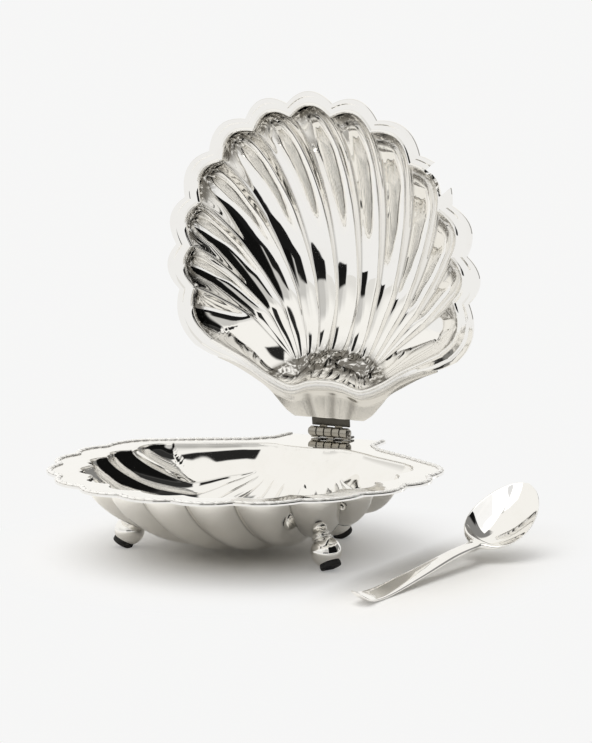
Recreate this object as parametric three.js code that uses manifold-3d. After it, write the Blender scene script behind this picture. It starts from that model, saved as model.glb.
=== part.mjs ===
// A hinged scallop-shell serving dish with ball feet, and its spoon.
// Millimetres, +Z up. The hinge is at the back (+Y), the front lobes point to -Y.
// While it is being built, the hinge axis is the line y = 0, and "s" is the distance in front of it.
import * as THREE from "three";
import { mergeVertices } from "three/addons/utils/BufferGeometryUtils.js";
import Module from "manifold-3d";

const wasm = await Module();
wasm.setup();

// Sheet and clearances
const SHEET = 1.0;              // thickness of the pressed bowl
const LID_SHEET = 1.1;          // thickness of the pressed lid
const GAP = 0.3;                // between pieces that are soldered or rest on each other

// Heights
const RIM_HEIGHT = 35.7;        // top of the base's flange above the table
const BOWL_DEPTH = 30.4;        // inside of the bowl below the flange
const LID_DEPTH = 30.0;         // inside of the lid behind its flange
const BOWL_CURVE = 0.75;        // 0.5 would be an ellipse, higher falls more gently from the rim
const FILLET = 1.2;             // turn from flange to wall

// Plan of the shell: an ellipse of cusps round a centre in front of the hinge
const CENTRE_S = 72;
const CUSP_ANGLES = [8.8, 26.3, 45.4, 65.0, 82.2, 98.0];  // degrees from the front, each side
const OPENING_HALF_WIDTH = 63.8;
const OPENING_HALF_LENGTH = 68.3;
const LID_HALF_WIDTH = 71.8;
const LID_HALF_LENGTH = 74.3;
const BORDER_WIDTH = 7.6;       // how far the base's cusps lie outside the lid's
const END_LOBE = 0.85;          // share of the rise in the lobe at each end
const LID_LOBE = 5.5;           // rise of a lobe of the lid's edge above its two cusps
const BASE_LOBE = 4.4;          // the same on the base's edge
const FLUTE_RATIO = 0.25;       // depth of a flute over its width, at the rim
const FLUTE_FADE = 0.5;         // share of that depth lost by its inner end
const OPENING_CORNER = [56, 39.5];
const LID_CORNER = [64.5, 36.2];
const BASE_CORNER = [70.5, 37];

// Back edge of the opening: a soft wave with its crest in the middle
const WAVE = [[0, 24.2], [8.5, 23.3], [17, 20.9], [27, 24.4], [37.5, 30.6], [47.5, 35.4]];
const BAND_END = 21;            // where the back wall stops and the shoulder starts
const SHOULDER_TURN = 30;       // where the outermost flute runs out along the wave
const RIDGE_END = [21.5, 30];   // inner end of the outermost ridge
const RIDGE_END_CREST = 35.2;   // the ridges' ends lie on an arc, this far out in the middle

// Outside of the flanges at the hinge
const LID_BAND = 4.2;           // width of the lid's flange along the wave
const LID_SHOULDER = [[57, 32.7], [47.2, 30.2], [37.5, 26.1]];
const BASE_SHOULDER = [[51, 24.5], [33, 14.2], [25.5, 5.5]];
const HINGE_EDGE = [24.5, 6.5]; // half length and distance behind the axis of the base's straight edge

// Hinge
const AXIS_ABOVE_RIM = 3.2;
const LID_ANGLE = 84;           // how far the lid stands open
const KNUCKLES = 5;
const KNUCKLE_WIDTH = 3.5;
const KNUCKLE_RADIUS = 2.3;
const KNUCKLE_GAP = 0.3;
const PIN_RADIUS = 0.9;
const BORE_RADIUS = 1.2;
const PIN_HEAD = [1.6, 0.6];    // radius and thickness
const LEAF = 1.0;               // thickness
const LID_LEAF_REACH = 14.6;    // from the axis
const BASE_LEAF_REACH = 5.9;
const APRON_SHEET = 0.9;
const APRON_LAP = 2.4;          // how far the apron reaches under the lid's flange
const APRON_RISE = 1.5;         // its step away from the flange, and the length of that step
const APRON_STEP = 4;
const APRON_EDGE = [17.3, 6.2]; // half length of its straight edge, and its distance from the axis
const APRON_SIDE = [[21.2, 8.8], [25.2, 13], [30.6, 18.6], [37.2, 22.6], [47, 27.8], [54.5, 30.8]];

// Spoon notch in the lid's flange, in the third lobe right of the middle
const NOTCH_LOBE = 9;
const NOTCH_WIDTH = 12.6;
const NOTCH_HEIGHT = 3.4;
const NOTCH_INNER = 69.6;       // distance of its end from the plan's centre

// Border of beads
const BEAD_PITCH = 3.9;
const BEAD_RADIUS = 1.15;
const BEAD_NECK = 0.6;
const BEAD_INSET = 1.4;         // centre line inside the base's edge

// Feet: each ball's direction from the plan's centre, in degrees from the front, and the
// height of the smooth bowl's inside above the ball's centre, which settles how far out it stands
const FOOT_BEARING = { front: 67.7, back: 149.3 };
const FOOT_RISE = { front: 13.0, back: 12.9 };
const FOOT_TILT = 29;
const BALL_HEIGHT = 7.4;        // centre of the ball above the table
const BALL_RADIUS = 6.3;
const BALL_FLAT = 4.6;          // where the ball is cut flat for its pad
const PAD_RADIUS = 4.35;
const PAD_THICKNESS = 2.2;
const COLLAR_RADIUS = 4.0;
const COLLAR_WAIST = 3.2;
const COLLAR_HEIGHT = { front: 3, back: 5 };    // beyond the ball, ending in the bowl's sheet

// Spoon, lying on the table beside the dish
const SPOON_LENGTH = 127.8;
const SPOON_BOWL = [38.6, 26.2, 6.8];    // length, width and depth
const SPOON_RIM_BOW = 2.0;       // how far the bowl's rim sinks below a line from neck to tip
const SPOON_HANDLE_WIDTH = 8.4;
const SPOON_NECK_WIDTH = 4.9;
const SPOON_SHEET = 1.6;
const SPOON_NECK_HEIGHT = 7.4;
const SPOON_TIP_HEIGHT = 3.8;
const SPOON_EGG = 0.93;          // 1 is an ellipse, lower is wider towards the handle
const SPOON_BOWL_PITCH = 31.4;
const SPOON_ROLL = 16.3;
const SPOON_PLACE = [85.2, 141.1];  // the handle's end: x and distance in front of the axis
const SPOON_HEADING = 5.2;       // degrees from straight back towards +X

const SEGMENTS = 4;             // steps across one flute
const LOBES = 2 * CUSP_ANGLES.length + 1;

const silver = { color: 0xd9d6cf, roughness: 0.06, metalness: 1.0 };
const darkSilver = { color: 0xa9a59c, roughness: 0.22, metalness: 1.0 };
const rubber = { color: 0x17171a, roughness: 0.75, metalness: 0.0 };

const radians = THREE.MathUtils.degToRad;
const lerp = THREE.MathUtils.lerp;
const rimTop = RIM_HEIGHT;
const axisHeight = rimTop + AXIS_ABOVE_RIM;
const lidFace = GAP - AXIS_ABOVE_RIM;    // the closed lid's flange, above the axis

// Closed solids in and out of the boolean library
function solidOf(geometry) {
  const plain = new THREE.BufferGeometry();
  plain.setAttribute("position", geometry.getAttribute("position").clone());
  if (geometry.index) {
    plain.setIndex(geometry.index.clone());
  }
  const merged = mergeVertices(plain, 1e-4);
  const vertProperties = new Float32Array(merged.getAttribute("position").array);
  const triVerts = new Uint32Array(merged.index.array);
  return new wasm.Manifold(new wasm.Mesh({ numProp: 3, vertProperties, triVerts }));
}

function geometryOf(solid) {
  const mesh = solid.getMesh();
  const geometry = new THREE.BufferGeometry();
  geometry.setAttribute("position", new THREE.BufferAttribute(new Float32Array(mesh.vertProperties), 3));
  geometry.setIndex(new THREE.BufferAttribute(new Uint32Array(mesh.triVerts), 1));
  geometry.computeVertexNormals();
  return geometry;
}

function boxSolid(low, high) {
  const box = new THREE.BoxGeometry(high[0] - low[0], high[1] - low[1], high[2] - low[2]);
  box.translate((low[0] + high[0]) / 2, (low[1] + high[1]) / 2, (low[2] + high[2]) / 2);
  return solidOf(box);
}

// A rod or tube along X
function rodX(x0, x1, outer, bore = 0, sides = 20) {
  const profile = [[bore, x0], [outer, x0], [outer, x1], [bore, x1]];
  if (bore > 0) {
    profile.push([bore, x0]);
  }
  const lathe = new THREE.LatheGeometry(profile.map(([r, h]) => new THREE.Vector2(r, h)), sides);
  lathe.rotateZ(-Math.PI / 2);
  return solidOf(lathe);
}

// Plan outlines, in x and s
function mirrored(points) {
  const left = points.map(([x, s]) => [-x, s]).reverse();
  return points[0][0] === 0 ? [...left, ...points.slice(1)] : [...left, ...points];
}

function cusp(index, halfWidth, halfLength, corner) {
  const side = index <= CUSP_ANGLES.length ? -1 : 1;
  const rank = side < 0 ? CUSP_ANGLES.length - index : index - CUSP_ANGLES.length - 1;
  if (rank >= CUSP_ANGLES.length) {
    return [side * corner[0], corner[1]];
  }
  const angle = radians(CUSP_ANGLES[rank]);
  return [side * halfWidth * Math.sin(angle), CENTRE_S + halfLength * Math.cos(angle)];
}

// A point of a scalloped edge: q counts lobes from the left corner to the right one
function lobePoint(q, halfWidth, halfLength, corner, rise) {
  const lobe = Math.min(Math.floor(q), LOBES - 1);
  const part = q - lobe;
  const a = cusp(lobe, halfWidth, halfLength, corner);
  const b = cusp(lobe + 1, halfWidth, halfLength, corner);
  const out = new THREE.Vector2(b[1] - a[1], a[0] - b[0]).normalize().negate();
  const bulge = rise * (lobe === 0 || lobe === LOBES - 1 ? END_LOBE : 1) * 4 * part * (1 - part);
  return [lerp(a[0], b[0], part) + out.x * bulge, lerp(a[1], b[1], part) + out.y * bulge];
}

function curveThrough(points) {
  const path = points.map(([x, s]) => new THREE.Vector3(x, s, 0));
  return new THREE.CatmullRomCurve3(path, false, "centripetal");
}

const waveCurve = curveThrough(mirrored(WAVE));
const waveSamples = waveCurve.getPoints(240);

function waveAt(x) {
  const index = waveSamples.findIndex((point) => point.x >= x);
  const a = waveSamples[Math.max(index - 1, 0)];
  const b = waveSamples[Math.max(index, 1)];
  return lerp(a.y, b.y, (x - a.x) / (b.x - a.x));
}

// The opening's outline through the flutes' ridges, and how far it lies from the plan's centre
const openingOutline = [];
for (let index = 0; index <= LOBES; index += 1) {
  openingOutline.push(cusp(index, OPENING_HALF_WIDTH, OPENING_HALF_LENGTH, OPENING_CORNER));
}
for (const point of mirrored(WAVE.map(([x]) => [x, waveAt(x)])).reverse()) {
  openingOutline.push(point);
}

function reach(x, s) {
  const dx = x;
  const ds = s - CENTRE_S;
  for (let i = 0; i < openingOutline.length; i += 1) {
    const a = openingOutline[i];
    const b = openingOutline[(i + 1) % openingOutline.length];
    const ex = b[0] - a[0];
    const es = b[1] - a[1];
    const cross = dx * es - ds * ex;
    if (Math.abs(cross) > 1e-9) {
      const along = (a[0] * es - (a[1] - CENTRE_S) * ex) / cross;
      const across = (a[0] * ds - (a[1] - CENTRE_S) * dx) / cross;
      if (along > 0 && across >= -1e-9 && across <= 1 + 1e-9) {
        return along;
      }
    }
  }
  return Infinity;
}

// Depth of the smooth bowl, before its flutes, below the flange
function smoothDepth(x, s, depth) {
  const share = Math.min(1 / reach(x, s), 1);
  return FILLET + (depth - FILLET) * (1 - share * share) ** BOWL_CURVE;
}

const FRONT_ROWS = 8;
const BACK_ROWS = 3;

// The outermost flute's outer side follows the opening's edge over the shoulder
const shoulder = [OPENING_CORNER];
for (const [x] of WAVE.slice().reverse()) {
  if (x > SHOULDER_TURN + 2) {
    shoulder.push([x, waveAt(x)]);
  }
}
shoulder.push([SHOULDER_TURN, waveAt(SHOULDER_TURN)]);

function along(points, part) {
  const place = part * (points.length - 1);
  const index = Math.min(Math.floor(place), points.length - 2);
  const [a, b] = [points[index], points[index + 1]];
  return [lerp(a[0], b[0], place - index), lerp(a[1], b[1], place - index)];
}

function shoulderPoint(side, row) {
  if (row <= FRONT_ROWS) {
    const part = 1 - Math.cos((row / FRONT_ROWS) * (Math.PI / 2));
    const [x, s] = along(shoulder, part);
    return [side * x, s];
  }
  const x = lerp(SHOULDER_TURN, BAND_END, (row - FRONT_ROWS) / BACK_ROWS);
  return [side * x, waveAt(x)];
}

function ridgePoint(index, row) {
  const last = LOBES - 1;
  const across = (2 * (index - 1)) / (last - 1) - 1;
  const end = [RIDGE_END[0] * across, lerp(RIDGE_END_CREST, RIDGE_END[1], across * across)];
  if (row <= FRONT_ROWS) {
    const part = 1 - Math.cos((row / FRONT_ROWS) * (Math.PI / 2));
    const front = lobePoint(index, OPENING_HALF_WIDTH, OPENING_HALF_LENGTH, OPENING_CORNER, 0);
    return [lerp(front[0], end[0], part), lerp(front[1], end[1], part)];
  }
  const part = Math.sin(((row - FRONT_ROWS) / BACK_ROWS) * (Math.PI / 2));
  const x = RIDGE_END[0] * 0.85 * across;
  return [lerp(end[0], x, part), lerp(end[1], waveAt(x), part)];
}

// A plan point of one flute's run: from the front edge to the arc of ridge ends, then up the back wall
function runPoint(q, row) {
  const lobe = Math.min(Math.floor(q), LOBES - 1);
  const a = lobe === 0 ? shoulderPoint(-1, row) : ridgePoint(lobe, row);
  const b = lobe === LOBES - 1 ? shoulderPoint(1, row) : ridgePoint(lobe + 1, row);
  return [lerp(a[0], b[0], q - lobe), lerp(a[1], b[1], q - lobe)];
}

// One point of the fluted face, as x, s and depth
function facePoint(q, row, depth) {
  const [x, s] = runPoint(q, row);
  const smooth = smoothDepth(x, s, depth);
  const lobe = Math.min(Math.floor(q), LOBES - 1);
  const part = q - lobe;
  if (row > FRONT_ROWS || part < 1e-6 || part > 1 - 1e-6) {
    return new THREE.Vector3(x, s, smooth);
  }
  const a = runPoint(lobe, row);
  const b = runPoint(lobe + 1 - 1e-9, row);
  const width = Math.hypot(b[0] - a[0], b[1] - a[1]);
  const share = lobe === 0 || lobe === LOBES - 1 ? END_LOBE * (1 - row / FRONT_ROWS) : 1;
  const ratio = FLUTE_RATIO * (1 - FLUTE_FADE * row / FRONT_ROWS);
  const bulge = share * ratio * width * 4 * part * (1 - part);
  const step = 0.05;
  const toward = runPoint(q, Math.min(row + step, FRONT_ROWS));
  const from = runPoint(q, Math.max(row - step, 0));
  const along = new THREE.Vector3(
    toward[0] - from[0],
    toward[1] - from[1],
    smoothDepth(toward[0], toward[1], depth) - smoothDepth(from[0], from[1], depth),
  );
  const side = new THREE.Vector3(b[0] - a[0], b[1] - a[1], 0);
  const out = new THREE.Vector3().crossVectors(along, side).normalize();
  if (out.z < 0) {
    out.negate();
  }
  return new THREE.Vector3(x, s, smooth).addScaledVector(out, bulge);
}

// Points at equal steps along a line of plan points
function evenSteps(points, count) {
  const path = new THREE.CurvePath();
  for (let i = 1; i < points.length; i += 1) {
    const a = new THREE.Vector3(points[i - 1][0], points[i - 1][1], 0);
    path.add(new THREE.LineCurve3(a, new THREE.Vector3(points[i][0], points[i][1], 0)));
  }
  return path.getSpacedPoints(count).map((point) => [point.x, point.y]);
}

// The pressed shell: fluted bowl and flat flange as one sheet, in x, s and depth.
// The side that shows the opening is the front; the sheet's thickness lies behind it.
function shellSheet(depth, thickness, edge, lift = 0) {
  const columns = LOBES * SEGMENTS;
  const rows = FRONT_ROWS + BACK_ROWS;
  const points = [];
  const faces = [];
  const at = (column, row) => column * (rows + 1) + row;
  for (let column = 0; column <= columns; column += 1) {
    for (let row = 0; row <= rows; row += 1) {
      points.push(facePoint(column / SEGMENTS, row, depth));
    }
  }
  for (let column = 0; column < columns; column += 1) {
    for (let row = 0; row < rows; row += 1) {
      const a = at(column, row);
      const b = at(column + 1, row);
      const c = at(column + 1, row + 1);
      const d = at(column, row + 1);
      faces.push([a, b, c], [a, c, d]);
    }
  }
  // The opening's loop: along the lobes, down the right shoulder, back along the wave, up the left
  const loop = [];
  for (let column = 0; column <= columns; column += 1) {
    loop.push(at(column, 0));
  }
  for (let row = 1; row <= rows; row += 1) {
    loop.push(at(columns, row));
  }
  for (let column = columns - 1; column >= 0; column -= 1) {
    loop.push(at(column, rows));
  }
  for (let row = rows - 1; row > 0; row -= 1) {
    loop.push(at(0, row));
  }
  const outerLobes = [];
  for (let column = 0; column <= columns; column += 1) {
    outerLobes.push(edge.lobes(column / SEGMENTS));
  }
  const backCount = loop.length - columns;
  const outerBack = evenSteps(edge.back, backCount).slice(1, -1);
  const outer = [...outerLobes, ...outerBack];
  const turn = loop.map((index, i) => {
    const before = points[loop[(i + loop.length - 1) % loop.length]];
    const after = points[loop[(i + 1) % loop.length]];
    const out = new THREE.Vector2(before.y - after.y, after.x - before.x).normalize();
    return points.push(new THREE.Vector3(points[index].x + out.x * FILLET, points[index].y + out.y * FILLET, 0)) - 1;
  });
  const rim = outer.map(([x, s]) => points.push(new THREE.Vector3(x, s, 0)) - 1);
  for (let i = 0; i < loop.length; i += 1) {
    const j = (i + 1) % loop.length;
    faces.push([loop[i], turn[i], turn[j]], [loop[i], turn[j], loop[j]]);
    faces.push([turn[i], rim[i], rim[j]], [turn[i], rim[j], turn[j]]);
  }
  return thicken(points, faces, thickness, rim, lift);
}

// Gives an open sheet its thickness, away from its front, and closes it along its edge loop.
// With a lift, the front is moved that far away in depth, which makes a cutter of the sheet.
function thicken(points, faces, thickness, loop, lift = 0) {
  const front = new THREE.BufferGeometry();
  front.setAttribute("position", new THREE.Float32BufferAttribute(points.flatMap((p) => [p.x, p.y, p.z]), 3));
  front.setIndex(faces.flat());
  front.computeVertexNormals();
  const normals = front.getAttribute("normal");
  const count = points.length;
  const all = points.flatMap((p) => [p.x, p.y, p.z - lift]);
  points.forEach((p, i) => {
    const amount = typeof thickness === "function" ? thickness(i) : thickness;
    all.push(p.x - normals.getX(i) * amount, p.y - normals.getY(i) * amount, p.z - normals.getZ(i) * amount);
  });
  const closed = [...faces, ...faces.map(([a, b, c]) => [a + count, c + count, b + count])];
  for (let i = 0; i < loop.length; i += 1) {
    const a = loop[i];
    const b = loop[(i + 1) % loop.length];
    closed.push([b, a, a + count], [b, a + count, b + count]);
  }
  const solid = new THREE.BufferGeometry();
  solid.setAttribute("position", new THREE.Float32BufferAttribute(all, 3));
  solid.setIndex(closed.flat());
  return solid;
}

// From x, s and depth to the model's axes
const baseFrame = new THREE.Matrix4().set(1, 0, 0, 0, 0, -1, 0, 0, 0, 0, -1, rimTop, 0, 0, 0, 1);
const lidFrame = new THREE.Matrix4().set(1, 0, 0, 0, 0, -1, 0, 0, 0, 0, 1, lidFace, 0, 0, 0, 1);

// The lid's frame mirrors the sheet, so its faces are turned round
function placed(geometry, frame) {
  geometry.applyMatrix4(frame);
  if (frame.determinant() < 0) {
    const index = geometry.index.array;
    for (let i = 0; i < index.length; i += 3) {
      [index[i], index[i + 1]] = [index[i + 1], index[i]];
    }
  }
  return geometry;
}

const baseEdge = {
  lobes: (q) => lobePoint(
    q, LID_HALF_WIDTH + BORDER_WIDTH, LID_HALF_LENGTH + BORDER_WIDTH, BASE_CORNER, BASE_LOBE),
  back: mirrored([[0, -HINGE_EDGE[1]], [HINGE_EDGE[0], -HINGE_EDGE[1]],
    ...BASE_SHOULDER.slice().reverse(), BASE_CORNER]).reverse(),
};
const lidBand = WAVE.map(([x]) => x).filter((x) => x < LID_SHOULDER[LID_SHOULDER.length - 1][0] - 6);
const lidBack = mirrored([
  ...lidBand.map((x) => [x * 1.03, waveAt(x) - LID_BAND]),
  ...LID_SHOULDER.slice().reverse(),
  LID_CORNER,
]);
const lidEdge = {
  lobes: (q) => lobePoint(q, LID_HALF_WIDTH, LID_HALF_LENGTH, LID_CORNER, LID_LOBE),
  back: lidBack.slice().reverse(),
};

const dish = new THREE.Group();
const base = new THREE.Group();
const lid = new THREE.Group();
dish.add(base, lid);
lid.position.z = axisHeight;
lid.rotation.x = -radians(LID_ANGLE);

function addPiece(group, name, geometry, look) {
  if (!geometry.getAttribute("normal")) {
    geometry.computeVertexNormals();
  }
  const mesh = new THREE.Mesh(geometry, new THREE.MeshStandardMaterial(look));
  mesh.name = name;
  group.add(mesh);
  return mesh;
}

// Bowl and lid
addPiece(base, "base_bowl", placed(shellSheet(BOWL_DEPTH, SHEET, baseEdge), baseFrame), silver);

const notchA = cusp(NOTCH_LOBE, LID_HALF_WIDTH, LID_HALF_LENGTH, LID_CORNER);
const notchB = cusp(NOTCH_LOBE + 1, LID_HALF_WIDTH, LID_HALF_LENGTH, LID_CORNER);
const notchTurn = Math.atan2((notchA[0] + notchB[0]) / 2, (notchA[1] + notchB[1]) / 2 - CENTRE_S);
const notchBox = new THREE.BoxGeometry(NOTCH_WIDTH, LID_HALF_LENGTH / 2, 2 * NOTCH_HEIGHT);
notchBox.translate(0, -NOTCH_INNER - LID_HALF_LENGTH / 4, lidFace);
notchBox.rotateZ(notchTurn);
notchBox.translate(0, -CENTRE_S, 0);
const lidSolid = solidOf(placed(shellSheet(LID_DEPTH, LID_SHEET, lidEdge), lidFrame));
addPiece(lid, "lid_shell", geometryOf(lidSolid.subtract(solidOf(notchBox))), silver);

// Border of beads round the base's flange, open at the hinge
function beadBorder() {
  const outline = [];
  const backRight = baseEdge.back.slice(0, -1).filter(([x]) => x > 0);
  const backLeft = backRight.map(([x, s]) => [-x, s]).reverse();
  for (const point of backLeft) {
    outline.push(point);
  }
  for (let step = 1; step < LOBES * 8; step += 1) {
    outline.push(baseEdge.lobes(step / 8));
  }
  for (const point of backRight) {
    outline.push(point);
  }
  const inset = outline.map(([x, s], i) => {
    const before = outline[Math.max(i - 1, 0)];
    const after = outline[Math.min(i + 1, outline.length - 1)];
    const out = new THREE.Vector2(before[1] - after[1], after[0] - before[0]).normalize();
    return [x - out.x * BEAD_INSET, s - out.y * BEAD_INSET];
  });
  const path = new THREE.CurvePath();
  for (let i = 1; i < inset.length; i += 1) {
    const from = new THREE.Vector3(inset[i - 1][0], inset[i - 1][1], 0);
    path.add(new THREE.LineCurve3(from, new THREE.Vector3(inset[i][0], inset[i][1], 0)));
  }
  const beads = Math.round(path.getLength() / BEAD_PITCH);
  const stations = path.getSpacedPoints(2 * beads);
  const positions = [];
  const index = [];
  const profile = [[1, 0], [0.6, 0.85], [-0.6, 0.85], [-1, 0]];
  const ring = profile.length;
  stations.forEach((point, i) => {
    const before = stations[Math.max(i - 1, 0)];
    const after = stations[Math.min(i + 1, stations.length - 1)];
    const side = new THREE.Vector2(before.y - after.y, after.x - before.x).normalize();
    const radius = i % 2 === 0 ? BEAD_NECK : BEAD_RADIUS;
    for (const [across, up] of profile) {
      const x = point.x + side.x * across * radius;
      const s = point.y + side.y * across * radius;
      positions.push(x, -s, rimTop + GAP + up * radius);
    }
  });
  for (let i = 0; i + 1 < stations.length; i += 1) {
    for (let k = 0; k < ring; k += 1) {
      const a = i * ring + k;
      const b = i * ring + ((k + 1) % ring);
      index.push(a, a + ring, b, b, a + ring, b + ring);
    }
  }
  const last = (stations.length - 1) * ring;
  for (let k = 1; k + 1 < ring; k += 1) {
    index.push(0, k, k + 1, last, last + k + 1, last + k);
  }
  const geometry = new THREE.BufferGeometry();
  geometry.setAttribute("position", new THREE.Float32BufferAttribute(positions, 3));
  geometry.setIndex(index);
  return geometry;
}
addPiece(base, "base_bead_border", beadBorder(), silver);

// Apron: a plate soldered behind the lid's flange, stepped back towards the hinge
const apronOuter = mirrored([[0, APRON_EDGE[1]], APRON_EDGE, ...APRON_SIDE]);
const lidBackCurve = curveThrough(lidBack);

function apronSheet() {
  const columns = 34;
  const rows = 4;
  const outer = evenSteps(apronOuter, columns);
  const edge = lidBackCurve.getPoints(300);
  const points = [];
  const faces = [];
  const loop = [];
  outer.forEach(([x, s]) => {
    const spread = x * 0.98;
    const meet = edge.find((point) => point.x >= spread) ?? edge[edge.length - 1];
    const inner = [spread, meet.y + APRON_LAP];
    for (let row = 0; row <= rows; row += 1) {
      const part = row / rows;
      const beyond = meet.y - lerp(inner[1], s, part);
      const rise = APRON_RISE * THREE.MathUtils.smoothstep(beyond, 0.3, APRON_STEP);
      points.push(new THREE.Vector3(lerp(inner[0], x, part), lerp(inner[1], s, part), rise));
    }
  });
  const at = (column, row) => column * (rows + 1) + row;
  for (let column = 0; column < columns; column += 1) {
    for (let row = 0; row < rows; row += 1) {
      const a = at(column, row);
      const b = at(column + 1, row);
      const c = at(column + 1, row + 1);
      const d = at(column, row + 1);
      faces.push([a, b, c], [a, c, d]);
    }
  }
  for (let column = 0; column <= columns; column += 1) {
    loop.push(at(column, 0));
  }
  for (let row = 1; row <= rows; row += 1) {
    loop.push(at(columns, row));
  }
  for (let column = columns - 1; column >= 0; column -= 1) {
    loop.push(at(column, rows));
  }
  for (let row = rows - 1; row > 0; row -= 1) {
    loop.push(at(0, row));
  }
  return thicken(points, faces, APRON_SHEET, loop);
}
const apronFrame = lidFrame.clone();
const apronFront = lidFace + LID_SHEET + GAP;
apronFrame.setPosition(0, 0, apronFront);
addPiece(lid, "lid_hinge_apron", placed(apronSheet(), apronFrame), silver);

// Hinge: knuckles by turns on the base's leaf and on the lid's, round one pin
const barrelLength = KNUCKLES * KNUCKLE_WIDTH + (KNUCKLES - 1) * KNUCKLE_GAP;
const barrelStart = -barrelLength / 2;

function knuckleSpan(index) {
  const x0 = barrelStart + index * (KNUCKLE_WIDTH + KNUCKLE_GAP);
  return [x0, x0 + KNUCKLE_WIDTH];
}

// A leaf with its knuckles: "first" is the first knuckle it carries, low and high bound the plate
function leafSolid(first, plateLow, plateHigh, towards, reachOut) {
  const clear = towards * (KNUCKLE_RADIUS + GAP);
  const yNear = Math.min(clear, towards * reachOut);
  const yFar = Math.max(clear, towards * reachOut);
  let solid = boxSolid([barrelStart, yNear, plateLow], [-barrelStart, yFar, plateHigh]);
  for (let index = first; index < KNUCKLES; index += 2) {
    const [x0, x1] = knuckleSpan(index);
    const y0 = Math.min(0, towards * (KNUCKLE_RADIUS + 2 * GAP));
    const y1 = Math.max(0, towards * (KNUCKLE_RADIUS + 2 * GAP));
    solid = solid.add(rodX(x0, x1, KNUCKLE_RADIUS));
    solid = solid.add(boxSolid([x0, y0, plateLow], [x1, y1, plateHigh]));
  }
  return solid.subtract(rodX(barrelStart - 1, -barrelStart + 1, BORE_RADIUS));
}

const basePlate = GAP - AXIS_ABOVE_RIM;
const baseLeaf = addPiece(
  base, "base_hinge_leaf", geometryOf(leafSolid(0, basePlate, basePlate + LEAF, 1, BASE_LEAF_REACH)), silver);
baseLeaf.position.z = axisHeight;
const lidPlate = KNUCKLE_RADIUS - LEAF;
addPiece(lid, "lid_hinge_leaf", geometryOf(leafSolid(1, lidPlate, lidPlate + LEAF, -1, LID_LEAF_REACH)), silver);

const pinEnd = barrelLength / 2 + GAP;
const pinSolid = rodX(-pinEnd - PIN_HEAD[1] / 2, pinEnd + PIN_HEAD[1] / 2, PIN_RADIUS)
  .add(rodX(-pinEnd - PIN_HEAD[1], -pinEnd, PIN_HEAD[0]))
  .add(rodX(pinEnd, pinEnd + PIN_HEAD[1], PIN_HEAD[0]));
const pin = addPiece(base, "hinge_pin", geometryOf(pinSolid), darkSilver);
pin.position.z = axisHeight;

// Feet: a ball on a waisted collar, with a rubber pad, leaning outward
const bowlCutter = solidOf(placed(shellSheet(BOWL_DEPTH, SHEET + GAP, baseEdge, 3 * SHEET), baseFrame));
const tableCutter = boxSolid(
  [-LID_HALF_WIDTH, -CENTRE_S - LID_HALF_LENGTH, -3 * PAD_THICKNESS],
  [LID_HALF_WIDTH, 0, 0],
);

function turned(profile, sides) {
  const lathe = new THREE.LatheGeometry(profile.map(([r, h]) => new THREE.Vector2(r, h)), sides);
  lathe.rotateX(Math.PI / 2);
  return lathe;
}

function ballProfile(radius, flatAt) {
  const profile = [[0, -radius]];
  const steps = 8;
  const end = Math.acos(flatAt / radius);
  for (let i = 1; i <= steps; i += 1) {
    const angle = Math.PI - (i / steps) * (Math.PI - end);
    profile.push([radius * Math.sin(angle), radius * Math.cos(angle)]);
  }
  profile.push([0, flatAt]);
  return profile;
}

function addFoot(name, x, s, height) {
  const out = new THREE.Vector2(x, CENTRE_S - s).normalize();
  const axis = new THREE.Vector3(
    Math.sin(radians(FOOT_TILT)) * out.x,
    Math.sin(radians(FOOT_TILT)) * out.y,
    -Math.cos(radians(FOOT_TILT)),
  );
  const turn = new THREE.Quaternion().setFromUnitVectors(new THREE.Vector3(0, 0, 1), axis);
  const stand = new THREE.Matrix4().compose(new THREE.Vector3(x, -s, BALL_HEIGHT), turn, new THREE.Vector3(1, 1, 1));
  const ball = turned(ballProfile(BALL_RADIUS, BALL_FLAT), 18).applyMatrix4(stand);
  addPiece(base, `foot_ball_${name}`, geometryOf(solidOf(ball)), silver);

  const low = -BALL_RADIUS + 2.4;
  const top = -BALL_RADIUS - height;
  const waist = -BALL_RADIUS - 0.4;
  const neck = [[0, top], [COLLAR_RADIUS, top], [COLLAR_RADIUS, waist - 1.2], [COLLAR_WAIST, waist - 0.4],
    [COLLAR_WAIST, waist], [COLLAR_RADIUS, waist + 1], [COLLAR_RADIUS, low], [0, low]];
  const collar = solidOf(turned(neck, 18).applyMatrix4(stand));
  const seat = solidOf(turned(ballProfile(BALL_RADIUS + GAP, BALL_FLAT + GAP), 18).applyMatrix4(stand));
  addPiece(base, `foot_collar_${name}`, geometryOf(collar.subtract(seat).subtract(bowlCutter)), silver);

  const padTop = BALL_FLAT + GAP;
  const padProfile = [[0, padTop], [PAD_RADIUS, padTop], [PAD_RADIUS, padTop + PAD_THICKNESS * 0.7],
    [PAD_RADIUS - 0.5, padTop + PAD_THICKNESS], [0, padTop + PAD_THICKNESS]];
  const pad = solidOf(turned(padProfile, 20).applyMatrix4(stand));
  addPiece(base, `foot_pad_${name}`, geometryOf(pad.subtract(tableCutter)), rubber);
}

// Where the smooth bowl is "depth" below the flange, in the given direction from the plan's centre
function placeAtDepth(bearing, depth) {
  const ahead = Math.cos(radians(bearing));
  const across = Math.sin(radians(bearing));
  const fall = (depth - FILLET) / (BOWL_DEPTH - FILLET);
  const distance = reach(across, CENTRE_S + ahead) * Math.sqrt(1 - fall ** (1 / BOWL_CURVE));
  return [across * distance, CENTRE_S + ahead * distance];
}

for (const pair of ["front", "back"]) {
  const [x, s] = placeAtDepth(FOOT_BEARING[pair], RIM_HEIGHT - BALL_HEIGHT - FOOT_RISE[pair]);
  addFoot(`${pair}_left`, -x, s, COLLAR_HEIGHT[pair]);
  addFoot(`${pair}_right`, x, s, COLLAR_HEIGHT[pair]);
}

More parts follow.
